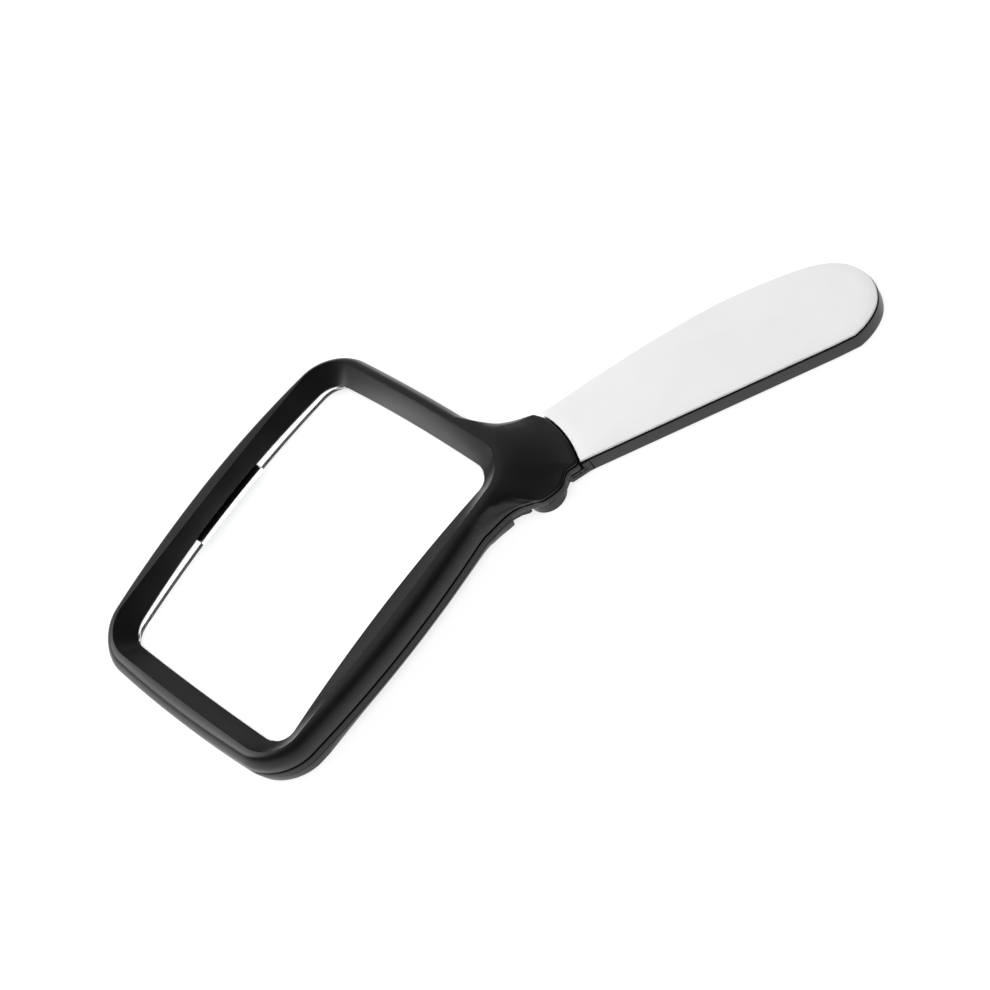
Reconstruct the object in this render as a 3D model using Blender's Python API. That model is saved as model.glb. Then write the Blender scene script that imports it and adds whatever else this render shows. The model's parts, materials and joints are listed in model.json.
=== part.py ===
"""Folding reading magnifier: a rectangular domed lens in a black frame, with a knife-shaped
handle that swings on a pivot at one corner, a press light and a coin-cell compartment.

Sizes are in millimetres and become metres where meshes are made.  While it is laid out, the
origin is the middle of the lens, +X runs along the frame's long side towards the pivot, +Y runs
to the lit side and +Z is up.  The root empty then puts the origin under the whole part's middle.
"""
import math

import bmesh
import bpy
from mathutils import Matrix, Vector

# Frame and lens
FRAME_LENGTH = 119.0
FRAME_WIDTH = 85.6
FRAME_LONG_BOW = 5.2
FRAME_SHORT_BOW = 2.1
FRAME_CORNER = 13.0
FRAME_HEIGHT = 14.2
WINDOW_LENGTH = 104.0
WINDOW_WIDTH = 71.0
WINDOW_BOW = 0.6
WINDOW_CORNER = 6.5
PARTING_HEIGHT = 3.8
LENS_CROWN_RADIUS = 290.0
LENS_APEX = 13.9
LENS_BOTTOM = 1.2
LIP_THICKNESS = 0.7
CORNER_STEPS = 7
SIDE_STEPS = 6

# Shares of the rim's breadth, counted from the outer edge to the window
RIM_OUTER_WALL = 0.24
RIM_CHANNEL_END = 0.66
RIM_LENS_SEAT = 0.76
RIM_LEDGE = 0.83
RIM_FOOT = 0.14
RIM_SCREWS = 0.36
RIM_LEADS = 0.585

# Pivot and hub
PIVOT_INSET = 4.0
PIVOT_OUTSET = 7.2
HANDLE_ANGLE = -34.7
BUMP_RADIUS = 6.5
KNUCKLE_RADIUS = 6.2
TONGUE_TOP = 3.7
CAP_TOP = 8.3
CAP_SKIRT = 6.3
BOSS_RADIUS = 2.2
PIVOT_SCREW_RADIUS = 0.9
WASHER_RADIUS = 3.9
WASHER_THICKNESS = 0.35

# Handle
HANDLE_LENGTH = 111.3
HANDLE_WIDTH = 30.4
HANDLE_EDGE_OFFSET = 2.0
TRAY_HEIGHT = 5.8
TRAY_WALL = 1.8
TRAY_FLOOR = 1.5
COVER_RIM = 0.9
COVER_CROWN = 0.8

# Light button
BUTTON_START = 7.8
BUTTON_LENGTH = 8.0
BUTTON_DEPTH = 4.0
BUTTON_BOTTOM = 0.9
BUTTON_TOP = 3.3
BUTTON_TRAVEL = 0.6

# Coin cells and their cap
CELL_U = 52.0
CELL_LATERAL = 17.0
CELL_RADIUS = 10.0
CELL_THICKNESS = 1.6
BATTERY_CAP_RADIUS = 11.4
LUG_REACH = 1.6

# Light bar on the far long side, let into the lens's edge
LIGHT_BAR_LENGTH = 29.0
LIGHT_BAR_WIDTH = 3.4
LIGHT_BAR_HEIGHT = 2.9
LIGHT_BAR_WALL = 0.5
LIGHT_BAR_REACH = 1.8
BOARD_THICKNESS = 0.4
TAB_HALF = 4.0
LED_COUNT = 3

# Fits, fasteners and leads
GAP = 0.3
SLIT = 0.5
SCREW_RADIUS = 0.8
SCREW_HEAD_RADIUS = 1.9
SCREW_HEAD_HEIGHT = 0.9
SCREW_BOSS_RADIUS = 1.7
LEAD_RADIUS = 0.4

MM = 0.001
ROUND_STEPS = 24
SMALL_STEPS = 16


# Scene helpers

def clear_scene():
    for item in list(bpy.data.objects):
        bpy.data.objects.remove(item)


def make_material(name, colour, roughness, metallic=0.0):
    """A plain Principled finish in linear colour."""
    material = bpy.data.materials.new(name)
    material.use_nodes = True
    shader = material.node_tree.nodes["Principled BSDF"]
    shader.inputs["Base Color"].default_value = (*colour, 1.0)
    shader.inputs["Roughness"].default_value = roughness
    shader.inputs["Metallic"].default_value = metallic
    return material


def add_object(name, mesh, material, parent):
    item = bpy.data.objects.new(name, mesh)
    bpy.context.collection.objects.link(item)
    mesh.materials.append(material)
    mesh.shade_smooth()
    mesh.set_sharp_from_angle(angle=math.radians(35))
    place_under(item, parent)
    return item


def place_under(item, parent):
    """Parents a mesh laid out in the lens frame to an empty, with the mesh's place kept."""
    offset = parent["layout_place"]
    item.data.transform(Matrix.Translation(-Vector(offset)))
    item.parent = parent


def add_empty(name, place, parent=None):
    """An empty at a place given in millimetres of the lens frame."""
    empty = bpy.data.objects.new(name, None)
    bpy.context.collection.objects.link(empty)
    empty["layout_place"] = [value * MM for value in place]
    empty.location = Vector(empty["layout_place"])
    if parent:
        empty.parent = parent
        empty.location -= Vector(parent["layout_place"])
    return empty


def finish_mesh(bm, name):
    for vertex in bm.verts:
        vertex.co *= MM
    bmesh.ops.recalc_face_normals(bm, faces=bm.faces)
    mesh = bpy.data.meshes.new(name)
    bm.to_mesh(mesh)
    bm.free()
    return mesh


def loft(name, rings, loop=False):
    """Bridges rings of equal count: capped at both ends, or joined into a closed band."""
    bm = bmesh.new()
    rows = [[bm.verts.new(point) for point in ring] for ring in rings]
    count = len(rows[0])
    pairs = list(zip(rows, rows[1:]))
    if loop:
        pairs.append((rows[-1], rows[0]))
    for first, second in pairs:
        for i in range(count):
            j = (i + 1) % count
            bm.faces.new((first[i], first[j], second[j], second[i]))
    if not loop:
        bm.faces.new(list(reversed(rows[0])))
        bm.faces.new(rows[-1])
    return finish_mesh(bm, name)


def prism(name, outline, low, high):
    """A flat outline raised from one height to another."""
    return loft(name, [[(x, y, low) for x, y in outline], [(x, y, high) for x, y in outline]])


def circle(centre, radius, steps=ROUND_STEPS):
    turns = [2 * math.pi * i / steps for i in range(steps)]
    return [(centre[0] + radius * math.cos(a), centre[1] + radius * math.sin(a)) for a in turns]


def turned(name, centre, profile, steps=ROUND_STEPS):
    """A turned solid from (radius, height) pairs, closed flat at its first and last ring."""
    rings = [[(x, y, z) for x, y in circle(centre, radius, steps)] for radius, z in profile]
    return loft(name, rings)


def washer(name, centre, inner, outer, low, high, steps=ROUND_STEPS):
    profile = [(outer, low), (outer, high), (inner, high), (inner, low)]
    rings = [[(x, y, z) for x, y in circle(centre, radius, steps)] for radius, z in profile]
    return loft(name, rings, loop=True)


def boolean(target, mesh, operation):
    """Cuts or joins a hidden guide solid, laid out in the lens frame."""
    guide = bpy.data.objects.new(target.name + "_guide", mesh)
    bpy.context.collection.objects.link(guide)
    guide.hide_render = True
    guide.display_type = "WIRE"
    place_under(guide, target.parent)
    modifier = target.modifiers.new(operation.lower(), "BOOLEAN")
    modifier.operation = operation
    modifier.object = guide
    modifier.solver = "EXACT"


# Outlines

def rounded_rectangle(length, width, radius):
    """Points anticlockwise from the +X +Y corner, with the same count for every size."""
    corners = [(1, 1, 0), (-1, 1, 90), (-1, -1, 180), (1, -1, 270)]
    arcs = []
    for sx, sy, start in corners:
        cx, cy = sx * (length / 2 - radius), sy * (width / 2 - radius)
        angles = [math.radians(start + 90 * i / CORNER_STEPS) for i in range(CORNER_STEPS + 1)]
        arcs.append([(cx + radius * math.cos(a), cy + radius * math.sin(a)) for a in angles])
    points = []
    for arc, after in zip(arcs, arcs[1:] + arcs[:1]):
        points += arc
        (x0, y0), (x1, y1) = arc[-1], after[0]
        shares = [i / SIDE_STEPS for i in range(1, SIDE_STEPS)]
        points += [(x0 + (x1 - x0) * s, y0 + (y1 - y0) * s) for s in shares]
    return points


def bowed(points, length, width, long_bow, short_bow):
    """Swells the long and short sides outwards in shallow arcs."""
    out = []
    for x, y in points:
        across, along = 2 * y / width, 2 * x / length
        out.append((x + short_bow * along * (1 - across**2), y + long_bow * across * (1 - along**2)))
    return out


def smooth_open(points, steps):
    """A Catmull-Rom curve through hand-chosen points; the first and last only steer its ends."""
    out = []
    for p0, p1, p2, p3 in zip(points, points[1:], points[2:], points[3:]):
        p0, p1, p2, p3 = Vector(p0), Vector(p1), Vector(p2), Vector(p3)
        for step in range(steps):
            t = step / steps
            bend = 2 * p0 - 5 * p1 + 4 * p2 - p3
            tail = -p0 + 3 * p1 - 3 * p2 + p3
            out.append((2 * p1 + (p2 - p0) * t + bend * t**2 + tail * t**3) * 0.5)
    return [tuple(p) for p in out] + [tuple(points[-2])]


def resampled(points, count):
    """Evenly spaced points along an open polyline."""
    lengths = [0.0]
    for a, b in zip(points, points[1:]):
        lengths.append(lengths[-1] + (Vector(b) - Vector(a)).length)
    out = []
    piece = 0
    for i in range(count):
        want = lengths[-1] * i / (count - 1)
        while piece < len(points) - 2 and lengths[piece + 1] < want:
            piece += 1
        share = (want - lengths[piece]) / (lengths[piece + 1] - lengths[piece])
        out.append(tuple(Vector(points[piece]).lerp(Vector(points[piece + 1]), share)))
    return out


def inset(points, distance):
    """Moves a clockwise or anticlockwise outline inwards along its corner normals."""
    count = len(points)
    area = sum(points[i][0] * points[(i + 1) % count][1] - points[(i + 1) % count][0] * points[i][1]
               for i in range(count))
    side = 1 if area > 0 else -1
    out = []
    for i in range(count):
        before, here, after = (Vector(points[(i + k) % count]) for k in (-1, 0, 1))
        along = ((here - before).normalized() + (after - here).normalized()).normalized()
        out.append(tuple(here + side * distance * Vector((-along.y, along.x))))
    return out


OUTER = bowed(rounded_rectangle(FRAME_LENGTH, FRAME_WIDTH, FRAME_CORNER),
              FRAME_LENGTH, FRAME_WIDTH, FRAME_LONG_BOW, FRAME_SHORT_BOW)
WINDOW = bowed(rounded_rectangle(WINDOW_LENGTH, WINDOW_WIDTH, WINDOW_CORNER),
               WINDOW_LENGTH, WINDOW_WIDTH, WINDOW_BOW, WINDOW_BOW)
PIVOT_X = FRAME_LENGTH / 2 - PIVOT_INSET
PIVOT_Y = -FRAME_WIDTH / 2 - PIVOT_OUTSET
PIVOT = Vector((PIVOT_X, PIVOT_Y))
ALONG = Vector((math.cos(math.radians(HANDLE_ANGLE)), math.sin(math.radians(HANDLE_ANGLE))))
LEFT = Vector((-ALONG.y, ALONG.x))


def rim_point(i, share):
    """A point between the outer edge (0) and the window (1)."""
    return Vector(OUTER[i]).lerp(Vector(WINDOW[i]), share)


def rim(share, height):
    """A ring round the frame; the height is a number or a rule of the plan position."""
    points = [rim_point(i, share) for i in range(len(OUTER))]
    return [(p.x, p.y, height(p) if callable(height) else height) for p in points]


def lens_top(p):
    return LENS_APEX - (p.x**2 + p.y**2) / (2 * LENS_CROWN_RADIUS)


def on_handle(u, lateral):
    """Handle coordinates (along, to the left) from the pivot, in the lens frame."""
    return tuple(PIVOT + ALONG * u + LEFT * lateral)


def from_pivot(points):
    """Offsets along the frame's own axes from the pivot, in the lens frame."""
    return [tuple(PIVOT + Vector(point)) for point in points]


def handle_outline(points):
    return [on_handle(u, lateral) for u, lateral in points]


def handle_box(u0, u1, lateral0, lateral1):
    return handle_outline([(u0, lateral0), (u1, lateral0), (u1, lateral1), (u0, lateral1)])


# The end of the hub over the handle, from the lit side to the button side
CAP_ARC = [(4.8, 22.8), (7.4, 19.7), (9.8, 14.4), (11.3, 9.3), (12.1, 4.0), (12.6, 0.4)]


def handle_plan():
    """The handle's outline: straight near edge, round tip, bowed far edge, hub arc at its root."""
    low = HANDLE_EDGE_OFFSET
    shares = [(0.840, 0.000), (0.900, 0.000), (0.952, 0.070), (0.988, 0.220), (1.000, 0.420),
              (0.985, 0.620), (0.945, 0.800), (0.880, 0.920), (0.780, 0.976), (0.610, 1.000),
              (0.430, 0.940), (0.250, 0.840), (0.100, 0.735), (-0.050, 0.630)]
    curve = smooth_open([(HANDLE_LENGTH * a, low + HANDLE_WIDTH * b) for a, b in shares], 3)
    straight = [(CAP_ARC[-1][0] + SLIT, low), (HANDLE_LENGTH * 0.35, low), (HANDLE_LENGTH * 0.65, low)]
    shoulder = [(CAP_ARC[0][0] + 2 * SLIT, CAP_ARC[0][1] + 0.6)]
    root = [(u + SLIT, lateral) for u, lateral in CAP_ARC[1:-1]]
    return handle_outline(straight + curve + shoulder + root)


# Head

def make_top_shell(material, parent):
    """The bezel, a hollow band round the lens, joined to the neck and the hub cap."""
    low = PARTING_HEIGHT + GAP
    ceiling = FRAME_HEIGHT - 3.4
    rings = [rim(0.0, low), rim(0.0, 8.6), rim(0.05, 11.2), rim(0.16, 13.2), rim(0.32, FRAME_HEIGHT),
             rim(0.46, FRAME_HEIGHT - 0.1), rim(1.0, lambda p: lens_top(p) + GAP + LIP_THICKNESS),
             rim(1.0, lambda p: lens_top(p) + GAP),
             rim(RIM_LENS_SEAT, lambda p: lens_top(p) + GAP), rim(RIM_LENS_SEAT, low),
             rim(RIM_CHANNEL_END, low), rim(RIM_CHANNEL_END, ceiling - 2.6),
             rim(RIM_OUTER_WALL, ceiling), rim(RIM_OUTER_WALL, low)]
    shell = add_object("top_shell", loft("top_shell", rings, loop=True), material, parent)
    boolean(shell, neck_mesh(), "UNION")
    for x, y in frame_screw_places()[:-1]:
        boolean(shell, prism("boss", circle((x, y), SCREW_BOSS_RADIUS, SMALL_STEPS), low, ceiling + 0.5),
                "UNION")
    boolean(shell, prism("pivot_boss", circle(PIVOT, BOSS_RADIUS), 1.5, CAP_SKIRT), "UNION")
    for x, y in frame_screw_places():
        hole = circle((x, y), SCREW_RADIUS + GAP, SMALL_STEPS)
        boolean(shell, prism("screw_hole", hole, low - 1, ceiling - 3.0), "DIFFERENCE")
    pilot = circle(PIVOT, PIVOT_SCREW_RADIUS + GAP, SMALL_STEPS)
    boolean(shell, prism("pilot", pilot, 0, 5.0), "DIFFERENCE")
    boolean(shell, prism("wiper_recess", wiper_plan(GAP), low - 1, low + 1.3), "DIFFERENCE")
    boolean(shell, prism("lead_tunnel", tunnel_plan(), low - 1, low + 2.7), "DIFFERENCE")
    bar_low, bar_high = bar_heights()
    _, back = bar_edges()
    passage = rectangle(-TAB_HALF - 2 * GAP, TAB_HALF + 2 * GAP, back - 1.0, lead_line() + 2.0)
    boolean(shell, prism("tab_passage", passage, bar_low, bar_high - 0.2), "DIFFERENCE")
    return shell


def neck_paths(count):
    """The neck's root on the rim and its free edge round the hub, point for point."""
    root = []
    for i in range(len(OUTER)):
        p = rim_point(i, 0.30)
        if p.y < PIVOT_Y + 36.0 and p.x > PIVOT_X - 19.5:
            root.append(tuple(p))
    by_button = [on_handle(u, lateral) for u, lateral in [(5.2, -5.2), (7.0, -3.8), (8.0, -2.0), (9.6, -0.5)]]
    cap = by_button + [on_handle(u, lateral) for u, lateral in reversed(CAP_ARC)]
    bump_turn = [-178, -154, -130, -106]
    bump = []
    for degrees in bump_turn:
        a = math.radians(degrees)
        bump.append((PIVOT_X + BUMP_RADIUS * math.cos(a), PIVOT_Y + BUMP_RADIUS * math.sin(a)))
    shoulder = from_pivot([(13.1, 19.6), (9.4, 23.6), (6.7, 27.6), (5.0, 32.4), (4.1, 37.4)])
    start = from_pivot([(-19.5, 5.2), (-14.0, 3.8), (-9.7, 2.4)])
    return resampled(root, count), resampled(start + bump + cap + shoulder, count)


def neck_mesh():
    """A web that falls from the bezel's ridge to the flat hub cap, with a rounded rim."""
    low = PARTING_HEIGHT + GAP
    ridge = FRAME_HEIGHT - 0.4
    drop = ridge - CAP_TOP
    sections = []
    for a, b in zip(*neck_paths(48)):
        a, b = Vector(a), Vector(b)
        rows = [(1.0, low), (1.0, CAP_SKIRT), (0.96, CAP_TOP - 0.5), (0.88, CAP_TOP),
                (0.66, CAP_TOP + 0.24 * drop), (0.44, CAP_TOP + 0.55 * drop), (0.22, CAP_TOP + 0.84 * drop),
                (0.0, ridge), (0.0, low)]
        sections.append([(*a.lerp(b, share), z) for share, z in rows])
    return loft("neck", sections)


def frame_screw_places():
    """One screw beside each corner, on the long sides; the last is by the hub."""
    step = CORNER_STEPS + SIDE_STEPS
    beside = [CORNER_STEPS, step, 2 * step + CORNER_STEPS, 3 * step]
    return [tuple(rim_point(k, RIM_SCREWS)) for k in beside]


def wiper_plan(grow):
    """A small leaf over the contact ring, on the frame's side of the pivot."""
    towards = Vector((0.2, 1.0)).normalized()
    across = Vector((towards.y, -towards.x))
    corners = [(3.2, -0.9), (6.0, -0.9), (6.0, 0.9), (3.2, 0.9)]
    grown = [(r + (grow if r > 4 else -grow), s + math.copysign(grow, s)) for r, s in corners]
    return [tuple(PIVOT + towards * r + across * s) for r, s in grown]


def tunnel_plan():
    """The passage for the leads from the hub to the bezel's hollow."""
    start, end = PIVOT + Vector((0.9, 4.5)), PIVOT + Vector((1.9, 24.0))
    along = (end - start).normalized()
    across = Vector((-along.y, along.x)) * 1.9
    return [tuple(start - across), tuple(end - across), tuple(end + across), tuple(start + across)]


def make_lower_shell(material, parent):
    """The lower half of the frame, with a ledge for the lens and a floor under the neck."""
    top = PARTING_HEIGHT
    ledge = LENS_BOTTOM - GAP
    rings = [rim(0.03, 0.75 * top), rim(0.03, top), rim(RIM_LENS_SEAT - 0.06, top),
             rim(RIM_LENS_SEAT - 0.06, ledge), rim(RIM_LEDGE, ledge), rim(RIM_LEDGE, 0.0), rim(RIM_FOOT, 0.0)]
    shell = add_object("lower_shell", loft("lower_shell", rings, loop=True), material, parent)
    root = [tuple(rim_point(i, 0.2)) for i in range(len(OUTER))
            if rim_point(i, 0.2).y < PIVOT_Y + 31.0 and rim_point(i, 0.2).x > PIVOT_X - 0.5]
    floor = root + from_pivot([(4.5, 31.4), (6.3, 27.0), (8.9, 23.1), (12.5, 19.1), (15.9, 15.6), (4.9, 7.4)])
    boolean(shell, prism("neck_floor", floor, 0.0, top), "UNION")
    pocket = circle(PIVOT, KNUCKLE_RADIUS + SLIT)
    boolean(shell, prism("knuckle_pocket", pocket, -1, top + 1), "DIFFERENCE")
    for x, y in frame_screw_places():
        head = circle((x, y), SCREW_HEAD_RADIUS + GAP, SMALL_STEPS)
        shank = circle((x, y), SCREW_RADIUS + GAP, SMALL_STEPS)
        boolean(shell, prism("head_hole", head, -1, SCREW_HEAD_HEIGHT + 2 * GAP), "DIFFERENCE")
        boolean(shell, prism("shank_hole", shank, 0, top + 1), "DIFFERENCE")
    return shell


def make_lens(material, parent):
    """A plano-convex lens whose edge lies on the lower shell's ledge."""
    share = RIM_LENS_SEAT + 0.04
    edge = [rim_point(i, share) for i in range(len(OUTER))]
    rings = [[(p.x, p.y, LENS_BOTTOM) for p in edge]]
    for scale in (1.0, 0.85, 0.65, 0.42, 0.18):
        rings.append([(p.x * scale, p.y * scale, lens_top(p * scale)) for p in edge])
    lens = add_object("lens", loft("lens", rings), material, parent)
    near, _ = bar_edges()
    low, _ = bar_heights()
    half = LIGHT_BAR_LENGTH / 2 + GAP
    notch = rectangle(-half, half, near - GAP, near + 4 * LIGHT_BAR_WIDTH)
    boolean(lens, prism("bar_notch", notch, low - GAP, FRAME_HEIGHT + 1), "DIFFERENCE")


def bar_edges():
    """The light bar's two long sides: the free one over the lens, and the one under the lip."""
    near = WINDOW_WIDTH / 2 + WINDOW_BOW - LIGHT_BAR_REACH
    return near, near + LIGHT_BAR_WIDTH


def bar_heights():
    """The light bar's bottom and top: its top is just under the bezel's lip."""
    top = lens_top(Vector((LIGHT_BAR_LENGTH / 2, WINDOW_WIDTH / 2 + LIGHT_BAR_WIDTH)))
    return top - LIGHT_BAR_HEIGHT, top


def rectangle(x0, x1, y0, y1):
    return [(x0, y0), (x1, y0), (x1, y1), (x0, y1)]


def lead_line():
    """How far out the leads run behind the light bar."""
    outer, window = FRAME_WIDTH / 2 + FRAME_LONG_BOW, WINDOW_WIDTH / 2 + WINDOW_BOW
    return outer + (window - outer) * RIM_LEADS


def make_light_bar(black, green, white, clear, parent):
    """A slim trough let into the lens's far edge: board, light chips and a clear strip below."""
    near, back = bar_edges()
    low, high = bar_heights()
    half = LIGHT_BAR_LENGTH / 2
    wall = LIGHT_BAR_WALL
    housing = add_object("led_housing", prism("led_housing", rectangle(-half, half, near, back), low, high),
                         black, parent)
    hollow = rectangle(-half + wall, half - wall, near + wall, back - wall)
    boolean(housing, prism("hollow", hollow, low - 1, high - wall), "DIFFERENCE")
    slot = rectangle(-TAB_HALF - GAP, TAB_HALF + GAP, back - 2 * wall, back + 1)
    boolean(housing, prism("tab_slot", slot, low + LIGHT_BAR_HEIGHT / 2, high - wall), "DIFFERENCE")
    inner = rectangle(-half + wall + GAP, half - wall - GAP, near + wall + GAP, back - wall - GAP)
    board_top = high - wall - GAP
    board_low = board_top - BOARD_THICKNESS
    tab_end = lead_line() + 1.3
    strip = inner[:2] + [inner[2], (TAB_HALF, inner[2][1]), (TAB_HALF, tab_end), (-TAB_HALF, tab_end),
                         (-TAB_HALF, inner[3][1]), inner[3]]
    add_object("led_board", prism("led_board", strip, board_low, board_top), green, parent)
    spacing = (LIGHT_BAR_LENGTH - 8.0) / (LED_COUNT - 1)
    middle = (inner[0][1] + inner[2][1]) / 2
    for k in range(LED_COUNT):
        x = (k - (LED_COUNT - 1) / 2) * spacing
        chip = rectangle(x - 1.4, x + 1.4, middle - 0.7, middle + 0.7)
        name = f"led_{k + 1}"
        add_object(name, prism(name, chip, board_low - 0.7, board_low - 0.05), white, parent)
    add_object("led_diffuser", prism("led_diffuser", inner, low + 0.1, board_low - 1.0), clear, parent)
    return board_low


def tube(name, points, radius, material, parent):
    """A lead along a polyline, with filled ends."""
    curve = bpy.data.curves.new(name, "CURVE")
    curve.dimensions = "3D"
    curve.bevel_depth = radius * MM
    curve.bevel_resolution = 1
    curve.use_fill_caps = True
    spline = curve.splines.new("POLY")
    spline.points.add(len(points) - 1)
    offset = Vector(parent["layout_place"])
    for point, place in zip(spline.points, points):
        point.co = (*(Vector(place) * MM - offset), 1.0)
    curve.materials.append(material)
    item = bpy.data.objects.new(name, curve)
    bpy.context.collection.objects.link(item)
    item.parent = parent


def make_frame_leads(red, black, board_low, parent):
    """Two leads, one over the other, from the hub along the bezel's hollow to the light bar."""
    height = PARTING_HEIGHT + GAP + LEAD_RADIUS + GAP
    for name, material, side in (("lead_positive", red, 1), ("lead_negative", black, -1)):
        hub = [(*(PIVOT + Vector((1.1 + 0.7 * side, 8.0))), height),
               (*(PIVOT + Vector((1.6 + 0.5 * side, 20.0))), height)]
        run = []
        for i in range(len(OUTER)):
            p = rim_point(i, RIM_LEADS)
            far_side = p.x > LIGHT_BAR_LENGTH / 2 and p.y > FRAME_WIDTH / 2 - 12.8
            hub_side = p.x > FRAME_LENGTH / 2 - 9.5 and p.y > PIVOT_Y + 30.0
            if far_side or hub_side:
                run.append((p.x, p.y, height))
        run.sort(key=lambda p: math.atan2(p[1], p[0]))
        end = [(-1.8 * side, lead_line(), height), (-1.8 * side, lead_line(), board_low - GAP)]
        tube(name, hub + run + end, LEAD_RADIUS, material, parent)
        height += 2 * LEAD_RADIUS + GAP


def make_frame_screws(material, parent):
    """Four pan-head screws driven up from below into the bezel's bosses."""
    head_low = 0.25
    head_high = head_low + SCREW_HEAD_HEIGHT
    for number, place in enumerate(frame_screw_places(), 1):
        profile = [(SCREW_HEAD_RADIUS - 0.4, head_low), (SCREW_HEAD_RADIUS, head_low + 0.4),
                   (SCREW_HEAD_RADIUS, head_high), (SCREW_RADIUS, head_high), (SCREW_RADIUS, 7.0)]
        name = f"frame_screw_{number}"
        add_object(name, turned(name, place, profile, SMALL_STEPS), material, parent)


# Pivot

def make_pivot(steel, brass, parent, handle):
    """The screw and washer that hold the knuckle up to the hub, and the sliding contact."""
    washer_low = 0.85
    add_object("pivot_washer", washer("pivot_washer", PIVOT, PIVOT_SCREW_RADIUS + GAP, WASHER_RADIUS,
                                      washer_low, washer_low + WASHER_THICKNESS), steel, parent)
    head_high = washer_low - GAP
    profile = [(2.2, 0.1), (2.6, 0.3), (2.6, head_high), (PIVOT_SCREW_RADIUS, head_high),
               (PIVOT_SCREW_RADIUS, 4.6)]
    add_object("pivot_screw", turned("pivot_screw", PIVOT, profile), steel, parent)
    low = PARTING_HEIGHT + GAP
    add_object("wiper_contact", prism("wiper_contact", wiper_plan(0.0), low + 0.05, low + 0.9), brass, parent)
    add_object("contact_ring", washer("contact_ring", PIVOT, 3.5, 5.0, TONGUE_TOP - 0.7, TONGUE_TOP - 0.05),
               brass, handle)


# Handle

def make_handle_body(material, parent):
    """The black tray with its tongue and knuckle, hollow inside and open under the cells."""
    plan = handle_plan()
    body = add_object("handle_body", prism("handle_body", plan, 0.0, TRAY_HEIGHT), material, parent)
    boolean(body, prism("hollow", inset(plan, TRAY_WALL), TRAY_FLOOR, TRAY_HEIGHT + 1), "DIFFERENCE")
    tongue = [(0.5, 5.6), (5.9, 22.4), (9.0, 20.6), (13.5, 16.0), (16.0, 8.0), (16.2, 2.4), (13.4, 2.0),
              (7.4, 0.4), (4.0, -4.2)]
    boolean(body, prism("tongue", handle_outline(tongue), 0.0, TONGUE_TOP), "UNION")
    boolean(body, prism("knuckle", circle(PIVOT, KNUCKLE_RADIUS), 0.0, TONGUE_TOP), "UNION")
    cells = Vector(on_handle(CELL_U, CELL_LATERAL))
    cradle = BATTERY_CAP_RADIUS + LUG_REACH + GAP
    wall_top = TRAY_FLOOR + 2 * CELL_THICKNESS
    boolean(body, washer("cradle", cells, cradle, cradle + 1.0, TRAY_FLOOR - 0.5, wall_top), "UNION")
    counterbore = circle(PIVOT, WASHER_RADIUS + GAP)
    boolean(body, prism("counterbore", counterbore, -1, 1.5), "DIFFERENCE")
    boolean(body, prism("pivot_hole", circle(PIVOT, BOSS_RADIUS + GAP), 0, TONGUE_TOP + 1), "DIFFERENCE")
    boolean(body, washer("ring_groove", PIVOT, 3.2, 5.3, TONGUE_TOP - 1.0, TONGUE_TOP + 1), "DIFFERENCE")
    slot = handle_box(BUTTON_START - GAP, BUTTON_START + BUTTON_LENGTH + GAP, -3.0, 9.6)
    boolean(body, prism("button_slot", slot, BUTTON_BOTTOM - GAP, TONGUE_TOP + 0.2), "DIFFERENCE")
    boolean(body, prism("cell_hole", circle(cells, BATTERY_CAP_RADIUS + GAP, 32), -1, TRAY_FLOOR + 0.1),
            "DIFFERENCE")
    for place in handle_screw_places():
        head = circle(place, SCREW_HEAD_RADIUS + GAP, SMALL_STEPS)
        shank = circle(place, SCREW_RADIUS + GAP, SMALL_STEPS)
        boolean(body, prism("head_hole", head, -1, 0.95), "DIFFERENCE")
        boolean(body, prism("shank_hole", shank, 0, TRAY_FLOOR + 1), "DIFFERENCE")


def handle_screw_places():
    return [on_handle(24.0, 22.5), on_handle(88.0, 25.0), on_handle(92.0, 9.0)]


def make_cover(material, parent):
    """The white top plate, gently crowned, with three screw posts under it."""
    plan = inset(handle_plan(), 0.25)
    low = TRAY_HEIGHT + GAP
    middle = Vector(on_handle(HANDLE_LENGTH * 0.55, HANDLE_EDGE_OFFSET + HANDLE_WIDTH / 2))
    rim_top = low + COVER_RIM
    rings = [[(x, y, low) for x, y in plan], [(x, y, rim_top - 0.25) for x, y in plan],
             [(x, y, rim_top) for x, y in inset(plan, 0.4)]]
    for share in (0.8, 0.5, 0.2):
        lift = rim_top + COVER_CROWN * (1 - share**2)
        rings.append([(*middle.lerp(Vector(p), share), lift) for p in plan])
    cover = add_object("handle_cover", loft("handle_cover", rings), material, parent)
    for place in handle_screw_places():
        boolean(cover, prism("post", circle(place, 2.0, SMALL_STEPS), TRAY_FLOOR + GAP, low + 0.5), "UNION")
        pilot = circle(place, SCREW_RADIUS + GAP, SMALL_STEPS)
        boolean(cover, prism("pilot", pilot, 0, low - 0.6), "DIFFERENCE")


def make_handle_screws(material, parent):
    for number, place in enumerate(handle_screw_places(), 1):
        profile = [(SCREW_HEAD_RADIUS - 0.3, 0.15), (SCREW_HEAD_RADIUS, 0.35), (SCREW_HEAD_RADIUS, 0.65),
                   (SCREW_RADIUS, 0.65), (SCREW_RADIUS, 4.6)]
        name = f"handle_screw_{number}"
        add_object(name, turned(name, place, profile, SMALL_STEPS), material, parent)


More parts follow.
